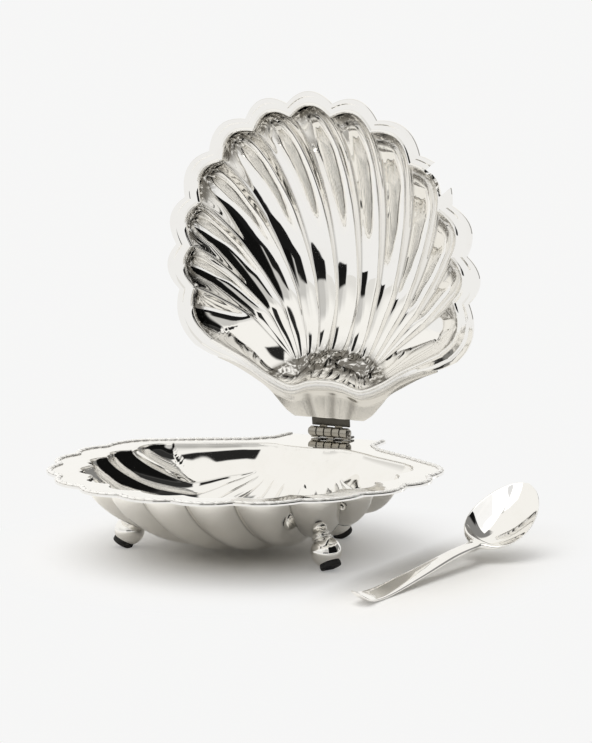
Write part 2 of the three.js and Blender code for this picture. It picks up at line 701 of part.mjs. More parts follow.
// Spoon: one sheet, handle and bowl, measured along its length from the handle's end
function spoonSheet() {
  const [bowlLength, bowlWidth, bowlDepth] = SPOON_BOWL;
  const neck = SPOON_LENGTH - bowlLength;
  const pitch = radians(SPOON_BOWL_PITCH);
  const spine = new THREE.CatmullRomCurve3([
    new THREE.Vector3(0, 0, SPOON_TIP_HEIGHT),
    new THREE.Vector3(0, neck * 0.08, 1.3),
    new THREE.Vector3(0, neck * 0.2, 0.6),
    new THREE.Vector3(0, neck * 0.5, 3.2),
    new THREE.Vector3(0, neck * 0.8, 6.6),
    new THREE.Vector3(0, neck, SPOON_NECK_HEIGHT),
  ]);
  const points = [];
  const faces = [];
  const thickness = [];
  const across = 8;
  const handleSteps = 14;
  const bowlSteps = 13;
  const addRow = (y, z, half, sag, sheet) => {
    for (let k = 0; k <= across; k += 1) {
      const a = (2 * k) / across - 1;
      points.push(new THREE.Vector3(half * a, y, z - sag * (1 - a * a)));
      thickness.push(sheet * (1 - 0.35 * a * a));
    }
  };
  for (let i = 0; i <= handleSteps; i += 1) {
    const part = i / handleSteps;
    const along = part * part * 0.25 + part * 0.75;
    const point = spine.getPointAt(along);
    const end = Math.sqrt(Math.max(1 - (1 - Math.min(along / 0.07, 1)) ** 2, 0.06));
    const taper = 0.5 + 0.5 * Math.cos(Math.PI * Math.min(along / 0.92, 1));
    const half = (SPOON_NECK_WIDTH / 2) + (SPOON_HANDLE_WIDTH - SPOON_NECK_WIDTH) / 2 * taper;
    addRow(point.y, point.z, half * end, 0.25 * taper, SPOON_SHEET * (1 + 0.7 * (1 - taper)));
  }
  for (let i = 1; i <= bowlSteps; i += 1) {
    const part = Math.sin((i / bowlSteps) * (Math.PI / 2));
    const round = Math.sqrt(Math.max(1 - (2 * part ** SPOON_EGG - 1) ** 2, 0));
    const open = THREE.MathUtils.smoothstep(part, 0, 0.25);
    const half = Math.max(bowlWidth / 2 * round, lerp(SPOON_NECK_WIDTH / 2, 1.2, part));
    const sag = i < bowlSteps ? bowlDepth * open * Math.sin(Math.PI * part ** 0.85) ** 0.8 : 0;
    const y = neck + bowlLength * part * Math.cos(pitch);
    const bow = 4 * SPOON_RIM_BOW * part * (1 - part);
    const z = SPOON_NECK_HEIGHT + bowlLength * part * Math.sin(pitch) - bow;
    addRow(y, z, half, sag, lerp(SPOON_SHEET * 1.7, SPOON_SHEET * 0.8, open));
  }
  const rows = handleSteps + bowlSteps;
  const at = (row, k) => row * (across + 1) + k;
  for (let row = 0; row < rows; row += 1) {
    for (let k = 0; k < across; k += 1) {
      faces.push([at(row, k), at(row, k + 1), at(row + 1, k + 1)], [at(row, k), at(row + 1, k + 1), at(row + 1, k)]);
    }
  }
  const loop = [];
  for (let k = 0; k <= across; k += 1) {
    loop.push(at(0, k));
  }
  for (let row = 1; row <= rows; row += 1) {
    loop.push(at(row, across));
  }
  for (let k = across - 1; k >= 0; k -= 1) {
    loop.push(at(rows, k));
  }
  for (let row = rows - 1; row > 0; row -= 1) {
    loop.push(at(row, 0));
  }
  return thicken(points, faces, (i) => thickness[i], loop);
}

const spoonGeometry = spoonSheet();
spoonGeometry.rotateY(radians(SPOON_ROLL));
spoonGeometry.rotateZ(-radians(SPOON_HEADING));
spoonGeometry.computeBoundingBox();
spoonGeometry.translate(SPOON_PLACE[0], -SPOON_PLACE[1], -spoonGeometry.boundingBox.min.z);
addPiece(dish, "spoon", spoonGeometry, silver);

// The origin is on the table, under the middle of the shell
dish.position.y = CENTRE_S;

export default dish;
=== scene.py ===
"""A polished scallop-shell dish with a hinged lid, and its teaspoon, in a pale studio."""
import math

import bmesh
import bpy
import numpy as np
from mathutils import Matrix, Vector
from mathutils.bvhtree import BVHTree


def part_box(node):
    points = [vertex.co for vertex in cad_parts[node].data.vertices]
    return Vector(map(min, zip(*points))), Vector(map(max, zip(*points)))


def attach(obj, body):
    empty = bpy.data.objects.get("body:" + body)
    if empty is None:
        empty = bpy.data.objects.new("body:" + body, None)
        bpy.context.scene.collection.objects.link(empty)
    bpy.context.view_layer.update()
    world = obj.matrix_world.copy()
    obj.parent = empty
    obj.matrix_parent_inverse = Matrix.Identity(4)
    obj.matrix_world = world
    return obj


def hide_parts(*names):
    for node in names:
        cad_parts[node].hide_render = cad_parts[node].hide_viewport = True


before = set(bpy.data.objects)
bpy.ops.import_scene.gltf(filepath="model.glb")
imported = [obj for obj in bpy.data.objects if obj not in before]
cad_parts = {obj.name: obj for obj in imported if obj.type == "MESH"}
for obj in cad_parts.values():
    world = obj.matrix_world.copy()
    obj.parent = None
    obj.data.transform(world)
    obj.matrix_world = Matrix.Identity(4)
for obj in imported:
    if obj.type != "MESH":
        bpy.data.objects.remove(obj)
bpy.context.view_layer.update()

MM = 0.001

# Driving sizes of the shell in millimetres. "s" is the distance in front of the hinge's axis.
SHEET = 1.0
LID_SHEET = 1.1
GAP = 0.3
RIM_HEIGHT = 35.7
BOWL_DEPTH = 30.4
LID_DEPTH = 30.0
BOWL_CURVE = 0.75
FILLET = 1.2

# A scalloped edge has its cusps on an ellipse, given by its half axes, and ends in a corner
CENTRE_S = 72.0
CUSP_ANGLES = [8.8, 26.3, 45.4, 65.0, 82.2, 98.0]
OPENING = (63.8, 68.3)
OPENING_CORNER = (56.0, 39.5)
LID_EDGE = (71.8, 74.3)
LID_CORNER = (64.5, 36.2)
LID_LOBE = 5.5
BORDER_WIDTH = 7.6
BASE_CORNER = (70.5, 37.0)
BASE_LOBE = 4.4
END_LOBE = 0.85
LOBES = 2 * len(CUSP_ANGLES) + 1

# Depth of a flute over its width, the share lost towards its end, and how round the ridges are
FLUTE_RATIO = 0.25
FLUTE_FADE = 0.45
RIDGE_ROUNDING = 0.12

# The opening's hinge side is a soft wave, at which the ridges stop after they have come together
WAVE = [(0, 24.2), (8.5, 23.3), (17, 20.9), (27, 24.4), (37.5, 30.6), (47.5, 35.4)]
BAND_END = 21.0
SHOULDER_TURN = 30.0
RIDGE_END = (21.5, 30.0)
RIDGE_END_CREST = 35.2
RIDGE_SPREAD = 2.25
RIDGE_TOP_SHARE = 0.85

# The flanges beside the hinge, and the hinge's axis
LID_BAND = 4.2
LID_SHOULDER = [(57, 32.7), (47.2, 30.2), (37.5, 26.1)]
BASE_SHOULDER = [(51, 24.5), (33, 14.2), (25.5, 5.5)]
HINGE_EDGE = (24.5, 6.5)
AXIS_ABOVE_RIM = 3.2
AXIS_HEIGHT = RIM_HEIGHT + AXIS_ABOVE_RIM
LID_FACE = GAP - AXIS_ABOVE_RIM
LID_ANGLE = math.radians(84)

# The pressed step in the lid's flange, placed by shares of its width, and the rolled band along the
# hinge side, which fades out over a range of x
STEP_DEPTH = 0.4
STEP_START = (0.0, 0.08)
STEP_END = (0.52, 0.66)
BAND_ROLL = 0.3
BAND_FADE = (33, 47)
BAND_WIDENING = 1.03
BAND_SHORT_OF_SHOULDER = 6

# Spoon notch in the lid's flange
NOTCH_LOBE = 9
NOTCH_WIDTH = 12.6
NOTCH_INNER = 69.6

# Crowding of the steps across a lobe towards its ridges
LOBE_CROWDING = 0.8
# Bearings round the plan's centre, and those that soften the bowl's reach, by a bell curve
BEARINGS = 2880
SOFT_BEARINGS = (120, 34.0)
# Rows, as run from 0 at the front, at which the flutes die out up the back wall
FLUTES_END = (1.0, 1.25)

# Where painted shade lies: in caps at the flutes' front ends, on the crown where they meet, in
# creases.
# A run is 0 at the front, 1 at the ridges' ends, 2 up the back; across is 0 at a ridge, 1 midway.
CAP_RUN = (0.1, 0.24)
CAP_ACROSS = (0.0, 0.4)
CROWN_START = (0.97, 1.03)
CROWN_END = (1.45, 1.8)
CREASE_ACROSS = (0.0, 0.22)
CREASE_RUN = (0.95, 1.05)
CROWN_STREAKS = 34

# How finely the pressed sheets are divided
PER_LOBE = 18
FRONT_ROWS = 60
BACK_ROWS = 20
FILLET_STEPS = 5
FLANGE_STEPS = 14
LEAST_STEP = 0.004
UNFOLD_TRIES = 200


# Plan curves, as arrays of x and s

def smooth_curve(points, per_span):
    """A centripetal curve through plan points."""
    p = np.array(points, float)
    p = np.vstack([2 * p[0] - p[1], p, 2 * p[-1] - p[-2]])
    out = []
    for a, b, c, d in zip(p, p[1:], p[2:], p[3:]):
        t1 = math.sqrt(np.linalg.norm(b - a))
        t2 = t1 + math.sqrt(np.linalg.norm(c - b))
        t3 = t2 + math.sqrt(np.linalg.norm(d - c))
        for t in np.linspace(t1, t2, per_span, endpoint=False):
            ab = (t1 - t) / t1 * a + t / t1 * b
            bc = (t2 - t) / (t2 - t1) * b + (t - t1) / (t2 - t1) * c
            cd = (t3 - t) / (t3 - t2) * c + (t - t2) / (t3 - t2) * d
            abc = (t2 - t) / t2 * ab + t / t2 * bc
            bcd = (t3 - t) / (t3 - t1) * bc + (t - t1) / (t3 - t1) * cd
            out.append((t2 - t) / (t2 - t1) * abc + (t - t1) / (t2 - t1) * bcd)
    out.append(p[-2])
    return np.array(out)


def mirrored(points):
    left = [(-x, s) for x, s in points][::-1]
    return left + [tuple(p) for p in points[1 if points[0][0] == 0 else 0:]]


def arc_length(points):
    """Share of a polyline's length at each of its points."""
    steps = np.linalg.norm(np.diff(points, axis=0), axis=1)
    length = np.r_[0, np.cumsum(steps)]
    return length / length[-1]


def at_shares(points, shares):
    points = np.array(points, float)
    own = arc_length(points)
    return np.stack([np.interp(shares, own, points[:, k]) for k in range(points.shape[1])], 1)


def units(vectors):
    return vectors / (np.linalg.norm(vectors, axis=1, keepdims=True) + 1e-12)


def leftward(points, closed):
    """Unit normals to the left of a line of plan points."""
    if closed:
        run = np.roll(points, -1, axis=0) - np.roll(points, 1, axis=0)
    else:
        run = np.gradient(points, axis=0)
    return units(np.stack([-run[:, 1], run[:, 0]], 1))


def ease(value, low, high):
    t = np.clip((value - low) / (high - low), 0, 1)
    return t * t * (3 - 2 * t)


def across_lobe(per_lobe):
    """Steps across one lobe, closer together near its ridges."""
    u = np.arange(per_lobe) / per_lobe
    return u - LOBE_CROWDING * np.sin(2 * math.pi * u) / (2 * math.pi)


WAVE_CURVE = smooth_curve(mirrored(WAVE), 40)


def wave_at(x):
    return np.interp(x, WAVE_CURVE[:, 0], WAVE_CURVE[:, 1])


def cusp(index, half, corner):
    side = -1 if index <= len(CUSP_ANGLES) else 1
    rank = len(CUSP_ANGLES) - index if side < 0 else index - len(CUSP_ANGLES) - 1
    if rank >= len(CUSP_ANGLES):
        return np.array([side * corner[0], corner[1]])
    angle = math.radians(CUSP_ANGLES[rank])
    return np.array([side * half[0] * math.sin(angle), CENTRE_S + half[1] * math.cos(angle)])


def lobed_edge(half, corner, rise, per_lobe):
    """A scalloped edge from the left corner to the right one."""
    out = []
    for lobe in range(LOBES):
        a = cusp(lobe, half, corner)
        b = cusp(lobe + 1, half, corner)
        normal = leftward(np.array([a, b]), False)[0]
        high = rise * (END_LOBE if lobe in (0, LOBES - 1) else 1)
        for t in across_lobe(per_lobe):
            out.append(a + (b - a) * t + normal * high * 4 * t * (1 - t))
    out.append(cusp(LOBES, half, corner))
    return np.array(out)


def base_edge(per_lobe):
    half = (LID_EDGE[0] + BORDER_WIDTH, LID_EDGE[1] + BORDER_WIDTH)
    x, s = HINGE_EDGE
    back = [(0, -s), (x, -s)] + BASE_SHOULDER[::-1] + [BASE_CORNER]
    return lobed_edge(half, BASE_CORNER, BASE_LOBE, per_lobe), np.array(mirrored(back)[::-1], float)


def lid_edge(per_lobe):
    last = LID_SHOULDER[-1][0] - BAND_SHORT_OF_SHOULDER
    band = [(x * BAND_WIDENING, wave_at(x) - LID_BAND) for x, _ in WAVE if x < last]
    back = smooth_curve(mirrored(band + LID_SHOULDER[::-1] + [LID_CORNER]), 12)
    return lobed_edge(LID_EDGE, LID_CORNER, LID_LOBE, per_lobe), back[::-1]


# The fluted face

SHOULDER_CURVE = smooth_curve(
    [OPENING_CORNER] + [(x, wave_at(x)) for x, _ in WAVE[::-1] if x > SHOULDER_TURN + 2]
    + [(SHOULDER_TURN, wave_at(SHOULDER_TURN))], 24)
HINGE_SIDE = np.vstack([SHOULDER_CURVE, WAVE_CURVE[abs(WAVE_CURVE[:, 0]) < SHOULDER_TURN][::-1],
                        SHOULDER_CURVE[::-1] * [-1, 1]])
OUTLINE = np.vstack([[cusp(i, OPENING, OPENING_CORNER) for i in range(LOBES)], HINGE_SIDE[:-1]])
DIRECTIONS = np.arange(BEARINGS) / BEARINGS * 2 * math.pi


def reach_by_direction():
    """Distance from the plan's centre to the opening's edge, true and softened."""
    d = np.stack([np.sin(DIRECTIONS), np.cos(DIRECTIONS)], 1)
    true = np.full(len(d), np.inf)
    for i, corner in enumerate(OUTLINE):
        a = corner - [0, CENTRE_S]
        e = OUTLINE[(i + 1) % len(OUTLINE)] - corner
        cross = d[:, 0] * e[1] - d[:, 1] * e[0]
        cross = np.where(np.abs(cross) < 1e-9, 1e-9, cross)
        along = (a[0] * e[1] - a[1] * e[0]) / cross
        across = (a[0] * d[:, 1] - a[1] * d[:, 0]) / cross
        hit = (along > 0) & (across >= -1e-6) & (across <= 1 + 1e-6)
        true = np.where(hit & (along < true), along, true)
    reach, spread = SOFT_BEARINGS
    steps = np.arange(-reach, reach + 1)
    weight = np.exp(-0.5 * (steps / spread) ** 2)
    weight /= weight.sum()
    soft = sum(w * np.roll(true, k) for w, k in zip(weight, steps))
    return true, soft


REACH_TRUE, REACH_SOFT = reach_by_direction()


def bowl_depth_at(plan, depth):
    """Depth of the smooth bowl before its flutes: soft inside, exact at the opening's edge."""
    dx = plan[..., 0]
    ds = plan[..., 1] - CENTRE_S
    angle = np.mod(np.arctan2(dx, ds), 2 * math.pi)
    true = np.interp(angle, DIRECTIONS, REACH_TRUE, period=2 * math.pi)
    soft = np.interp(angle, DIRECTIONS, REACH_SOFT, period=2 * math.pi)
    distance = np.hypot(dx, ds)
    near = np.clip(distance / true, 0, 1) ** 4
    share = np.clip(distance / (soft + (true - soft) * near), 0, 1)
    return FILLET + (depth - FILLET) * (1 - share * share) ** BOWL_CURVE


def ridge_line(index, run):
    """Plan points of one ridge: run 0 to 1 from the opening to its end, and to 2 up the back."""
    across = 2 * (index - 1) / (LOBES - 2) - 1
    across = math.copysign(1 - (1 - abs(across)) ** RIDGE_SPREAD, across)
    end_s = RIDGE_END_CREST + (RIDGE_END[1] - RIDGE_END_CREST) * across ** 2
    end = np.array([RIDGE_END[0] * across, end_s])
    start = cusp(index, OPENING, OPENING_CORNER)
    top_x = RIDGE_END[0] * RIDGE_TOP_SHARE * across
    top = np.array([top_x, wave_at(top_x)])
    front = 1 - np.cos(np.clip(run, 0, 1) * math.pi / 2)
    back = np.sin(np.clip(run - 1, 0, 1) * math.pi / 2)
    line = start + (end - start) * front[:, None]
    return np.where(run[:, None] > 1, end + (top - end) * back[:, None], line)


def shoulder_line(side, run):
    """The outermost flute's outer side, which follows the opening's edge over the shoulder."""
    front = at_shares(SHOULDER_CURVE, 1 - np.cos(np.clip(run, 0, 1) * math.pi / 2))
    x = SHOULDER_TURN + (BAND_END - SHOULDER_TURN) * np.clip(run - 1, 0, 1)
    line = np.where(run[:, None] > 1, np.stack([x, wave_at(x)], 1), front)
    return line * [side, 1]


def fluted_face(depth):
    """Points of the pressed face inside its flange, by column and row, as x, s and depth."""
    run = np.r_[np.linspace(0, 1, FRONT_ROWS + 1), np.linspace(1, 2, BACK_ROWS + 1)[1:]]
    lines = [shoulder_line(-1, run)]
    lines += [ridge_line(i, run) for i in range(1, LOBES)]
    lines.append(shoulder_line(1, run))
    fade = FLUTE_RATIO * (1 - FLUTE_FADE * np.clip(run, 0, 1)) * (1 - ease(run, *FLUTES_END))
    columns = []
    for lobe in range(LOBES):
        a, b = lines[lobe], lines[lobe + 1]
        width = np.linalg.norm(b - a, axis=1)
        side = np.c_[b - a, np.zeros(len(run))]
        ends = END_LOBE * np.clip(1 - run, 0, 1) if lobe in (0, LOBES - 1) else 1.0
        steps = across_lobe(PER_LOBE)
        for t in (np.r_[steps, 1.0] if lobe == LOBES - 1 else steps):
            plan = a + (b - a) * t
            line = np.c_[plan, bowl_depth_at(plan, depth)]
            normal = units(np.cross(np.gradient(line, axis=0), side))
            normal *= np.where(normal[:, 2:] < 0, -1, 1)
            high = 4 * t * (1 - t)
            high = math.hypot(RIDGE_ROUNDING, high) - RIDGE_ROUNDING
            high /= math.hypot(RIDGE_ROUNDING, 1) - RIDGE_ROUNDING
            columns.append(line + normal * (fade * ends * width * high)[:, None])
    return np.array(columns)


# Places in the open dish, in metres

def base_place(p):
    p = np.asarray(p, float)
    return np.stack([p[..., 0], CENTRE_S - p[..., 1], RIM_HEIGHT - p[..., 2]], -1) * MM


def lid_place(p):
    """From x, s and height behind the lid's flange."""
    p = np.asarray(p, float)
    n = p[..., 2] + LID_FACE
    y = -p[..., 1] * math.cos(LID_ANGLE) + n * math.sin(LID_ANGLE)
    z = p[..., 1] * math.sin(LID_ANGLE) + n * math.cos(LID_ANGLE)
    return np.stack([p[..., 0], y + CENTRE_S, z + AXIS_HEIGHT], -1) * MM


# Mesh helpers

def lattice(columns, rows, places):
    """A grid of faces whose vertices are put at places[column, row]."""
    bm = bmesh.new()
    bmesh.ops.create_grid(bm, x_segments=columns, y_segments=rows, size=0.5)
    where = bm.verts.layers.int.new("where")
    for v in bm.verts:
        column = round((v.co.x + 0.5) * columns)
        row = round((v.co.y + 0.5) * rows)
        v.co = places[column, row]
        v[where] = column * (rows + 1) + row
    return bm, where


def new_object(name, data):
    made = bpy.data.objects.new(name, data)
    bpy.context.collection.objects.link(made)
    return made


def mesh_object(bm, name, material):
    mesh = bpy.data.meshes.new(name)
    bm.to_mesh(mesh)
    bm.free()
    mesh.materials.append(material)
    return new_object(name, mesh)


def piece_from(bm, name, material, body, nodes):
    """Turns a bmesh into a smooth piece that rides on a body and stands for CAD nodes."""
    piece = mesh_object(bm, name, material)
    piece.data.shade_smooth()
    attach(piece, body)
    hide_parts(*nodes)
    return piece


def add_wall(piece, thickness, far_side=None):
    """Gives a sheet its thickness; its far side can have a finish of its own."""
    wall = piece.modifiers.new("wall", "SOLIDIFY")
    wall.thickness = thickness * MM
    wall.offset = -1
    if far_side is not None:
        piece.data.materials.append(far_side)
        wall.material_offset = 1


SOFTENED_ANGLE = math.radians(65)


def soften_edges(piece, width):
    soft = piece.modifiers.new("soft_edges", "BEVEL")
    soft.width = width * MM
    soft.segments = 2
    soft.limit_method = "ANGLE"
    soft.angle_limit = SOFTENED_ANGLE


def spin_profile(bm, points, axis, steps):
    """Spins a line of points round an axis through the middle."""
    verts = [bm.verts.new(point) for point in points]
    edges = [bm.edges.new(pair) for pair in zip(verts, verts[1:])]
    bmesh.ops.spin(
        bm, geom=verts + edges, cent=(0, 0, 0), axis=axis, angle=2 * math.pi, steps=steps,
        use_merge=True, use_duplicate=False)


def merge_and_turn_out(bm, reach, fill=False):
    """Merges vertices within reach, closes open ends if asked, and turns all faces outwards."""
    bmesh.ops.remove_doubles(bm, verts=bm.verts, dist=reach)
    if fill:
        bmesh.ops.holes_fill(bm, edges=[e for e in bm.edges if e.is_boundary], sides=0)
    bmesh.ops.recalc_face_normals(bm, faces=bm.faces)


# The pressed shells

def band_share(loop):
    """How far each point of the opening's edge lies on the rolled band of the hinge side."""
    at_back = np.arange(len(loop)) > LOBES * PER_LOBE
    return at_back * (1 - ease(abs(loop[:, 0]), *BAND_FADE))


def unfolded(ring, loop):
    """Evens out a ring of plan points where it would run back along the loop and fold the sheet."""
    along = units(np.roll(loop, -1, axis=0) - loop)
    for _ in range(UNFOLD_TRIES):
        step = ((np.roll(ring, -1, axis=0) - ring) * along).sum(1)
        back = step < LEAST_STEP
        if not back.any():
            break
        near = back | np.roll(back, 1) | np.roll(back, -1) | np.roll(back, 2)
        middle = (np.roll(ring, 1, axis=0) + np.roll(ring, -1, axis=0)) / 2
        ring = np.where(near[:, None], (ring + middle) / 2, ring)
    return ring


def flange_rings(loop, outer, is_lid):
    """Rings from the opening's edge over the rolled fillet to the flange's outer edge."""
    outward = leftward(loop[:, :2], True)
    rings = []
    for k in range(1, FILLET_STEPS + 1):
        turn = k / FILLET_STEPS * math.pi / 2
        plan = unfolded(loop[:, :2] + outward * FILLET * (1 - math.cos(turn)), loop[:, :2])
        rings.append(np.c_[plan, loop[:, 2] * (1 - math.sin(turn))])
    inner = rings[-1][:, :2]
    on_band = band_share(loop)
    for k in range(1, FLANGE_STEPS + 1):
        t = k / FLANGE_STEPS
        depth = np.zeros(len(loop))
        if is_lid:
            step = STEP_DEPTH * ease(t, *STEP_START) * (1 - ease(t, *STEP_END))
            roll = BAND_ROLL * (2 * t - 1) ** 2
            depth = step * (1 - on_band) + roll * on_band
        rings.append(np.c_[inner + (outer - inner) * t, depth])
    return rings


def mark_flutes(bm, where, rows):
    """Says at each vertex how much painted shade it takes in a hollow or a crease, and where along
    its flute.
    """
    hollow_shade = bm.verts.layers.float.new("hollow_shade")
    crease_shade = bm.verts.layers.float.new("crease_shade")
    bm.verts.layers.float.new("band")
    streaks = bm.verts.layers.float_vector.new("streaks")
    steps = np.r_[across_lobe(PER_LOBE), 1.0]
    for v in bm.verts:
        column, row = divmod(v[where], rows + 1)
        lobe = min(column // PER_LOBE, LOBES - 1)
        t = steps[column - lobe * PER_LOBE]
        run = row / FRONT_ROWS if row <= FRONT_ROWS else 1 + (row - FRONT_ROWS) / BACK_ROWS
        across = 4 * t * (1 - t)
        # The caps at the flutes' front ends and the crown where they meet take painted shade
        cap = (1 - ease(run, *CAP_RUN)) * ease(across, *CAP_ACROSS)
        crown = ease(run, *CROWN_START) * (1 - ease(run, *CROWN_END))
        v[hollow_shade] = float(max(cap, crown))
        # The creases near the front take a painted dark line of shade
        v[crease_shade] = float((1 - ease(across, *CREASE_ACROSS)) * (1 - ease(run, *CREASE_RUN)))
        v[streaks] = (lobe + t, run * 1.2 + lobe * 3.7, 0) if run < 0.96 else v.co * CROWN_STREAKS


def pressed_sheet(depth, edge, place, is_lid):
    """The fluted face with its flange, as an open sheet whose front is the side that is used."""
    face = fluted_face(depth)
    columns = len(face) - 1
    rows = face.shape[1] - 1
    bm, where = lattice(columns, rows, place(face))
    mark_flutes(bm, where, rows)
    order = [(c, 0) for c in range(columns + 1)]
    order += [(columns, r) for r in range(1, rows + 1)]
    order += [(c, rows) for c in range(columns - 1, -1, -1)]
    order += [(0, r) for r in range(rows - 1, 0, -1)]
    loop = np.array([face[c, r] for c, r in order])
    number = {c * (rows + 1) + r: i for i, (c, r) in enumerate(order)}
    for v in bm.verts:
        v[where] = number.get(v[where], -1)
    lobes, back = edge
    inner_back = np.vstack([loop[columns:, :2], loop[:1, :2]])
    outer = np.vstack([lobes, at_shares(back, arc_length(inner_back))[1:-1]])
    rings = flange_rings(loop, outer, is_lid)
    on_band = band_share(loop) * is_lid
    hollow_shade, crease_shade = bm.verts.layers.float["hollow_shade"], bm.verts.layers.float["crease_shade"]
    band = bm.verts.layers.float["band"]
    for k, ring in enumerate(rings):
        places = place(ring)
        open_edge = [e for e in bm.edges if e.is_boundary]
        for v in bmesh.ops.extrude_edge_only(bm, edges=open_edge)["geom"]:
            if isinstance(v, bmesh.types.BMVert):
                v.co = places[v[where]]
                v[hollow_shade] = 0.0
                v[band] = float(on_band[v[where]])
                # Painted shade: a dark line along the rolled band's outer edge, where it meets the
                # apron
                v[crease_shade] = v[band] if k >= len(rings) - 2 else 0.0
    if is_lid:
        bmesh.ops.reverse_faces(bm, faces=bm.faces)
    return bm


def add_bowl(material, outside):
    bm = pressed_sheet(BOWL_DEPTH, base_edge(PER_LOBE), base_place, False)
    bowl = piece_from(bm, "bowl", material, "base", ["base_bowl"])
    add_wall(bowl, SHEET, outside)
    soften_edges(bowl, 0.3)
    return bowl


def cut_notch(bm):
    """Opens the lid's flange where the spoon's handle comes out, by three cuts across it."""
    a = cusp(NOTCH_LOBE, LID_EDGE, LID_CORNER)
    b = cusp(NOTCH_LOBE + 1, LID_EDGE, LID_CORNER)
    turn = math.atan2(a[0] + b[0], a[1] + b[1] - 2 * CENTRE_S)
    across = np.array([math.cos(turn), -math.sin(turn), 0])
    out = np.array([math.sin(turn), math.cos(turn), 0])
    middle = np.array([0, CENTRE_S, 0])
    origin = Vector(lid_place(middle))
    side = (Vector(lid_place(middle + across)) - origin).normalized()
    ahead = (Vector(lid_place(middle + out)) - origin).normalized()
    half = NOTCH_WIDTH / 2 * MM
    inner = NOTCH_INNER * MM

    def within(face, spare):
        from_origin = face.calc_center_median() - origin
        return abs(from_origin.dot(side)) < half + spare and from_origin.dot(ahead) > inner - spare

    for place, normal in ((-half * side, side), (half * side, side), (inner * ahead, ahead)):
        near = [f for f in bm.faces if within(f, 4 * MM)]
        geom = list({v for f in near for v in f.verts} | {e for f in near for e in f.edges}) + near
        bmesh.ops.bisect_plane(bm, geom=geom, plane_co=origin + place, plane_no=normal, dist=1e-6)
    bmesh.ops.delete(bm, geom=[f for f in bm.faces if within(f, 0)], context="FACES")


def add_lid(material, outside):
    bm = pressed_sheet(LID_DEPTH, lid_edge(PER_LOBE), lid_place, True)
    cut_notch(bm)
    lid = piece_from(bm, "lid", material, "lid", ["lid_shell"])
    add_wall(lid, LID_SHEET, outside)
    soften_edges(lid, 0.25)
    return lid


# The beaded border

BEAD_PITCH = 4.1
BEAD_HALF_WIDTH = 1.2
BEAD_HEIGHT = 0.7
BEAD_NECK = 0.3
BEAD_SEAT = 0.1
BEAD_INSET = 1.4
BEAD_SLANT = 0.35
BEAD_STATIONS = 10
BEAD_SIDES = 12


def add_bead_border(material):
    lobes, back = base_edge(24)
    right = back[back[:, 0] > 0]
    outline = np.vstack([right[::-1] * [-1, 1], lobes[1:-1], right])
    line = outline - leftward(outline, False) * BEAD_INSET
    length = np.linalg.norm(np.diff(line, axis=0), axis=1).sum()
    beads = round(length / BEAD_PITCH)
    stations = beads * BEAD_STATIONS
    share = np.arange(stations + 1) / stations
    middle = at_shares(line, share)
    out = leftward(middle, False)
    ahead = np.stack([out[:, 1], -out[:, 0]], 1)
    phase = np.mod(share * beads, 1)
    swell = BEAD_NECK + (1 - BEAD_NECK) * np.sqrt(np.clip(1 - (2 * phase - 1) ** 4, 0, 1))
    places = np.zeros((stations + 1, BEAD_SIDES + 1, 3))
    for k in range(BEAD_SIDES + 1):
        turn = 2 * math.pi * k / BEAD_SIDES
        across = math.cos(turn) * BEAD_HALF_WIDTH * swell
        lean = math.cos(turn) * BEAD_SLANT * BEAD_PITCH * 0.5
        plan = middle + out * across[:, None] + ahead * lean
        high = BEAD_HEIGHT * swell * max(math.sin(turn), -0.2)
        places[:, k] = base_place(np.c_[plan, -high - BEAD_SEAT])
    bm, _ = lattice(stations, BEAD_SIDES, places)
    merge_and_turn_out(bm, 1e-6, fill=True)
    return piece_from(bm, "bead_border", material, "base", ["base_bead_border"])


# The apron between the lid and its hinge

APRON_SHEET = 0.9
APRON_LAP = 2.4
APRON_RISE = 1.5
APRON_STEP = 4.0
APRON_EDGE = (17.3, 6.2)
APRON_SIDE = [(21.2, 8.8), (25.2, 13), (30.6, 18.6), (37.2, 22.6), (47, 27.8), (54.5, 30.8)]
GROOVE_FANS = (-0.45, 0.1, 0.55)
GROOVE_DEPTH = 0.55
GROOVE_WIDTH = 0.09
GROOVE_SPREAD = 0.55
GROOVE_START = (1.0, 5.0)
# How far beyond the band the painted shade in the grooves sets in
GROOVE_SHADE_START = (0.5, 3.0)
APRON_TUCK = 0.2
APRON_NARROWING = 0.98
APRON_COLUMNS = 168
APRON_ROWS = 26


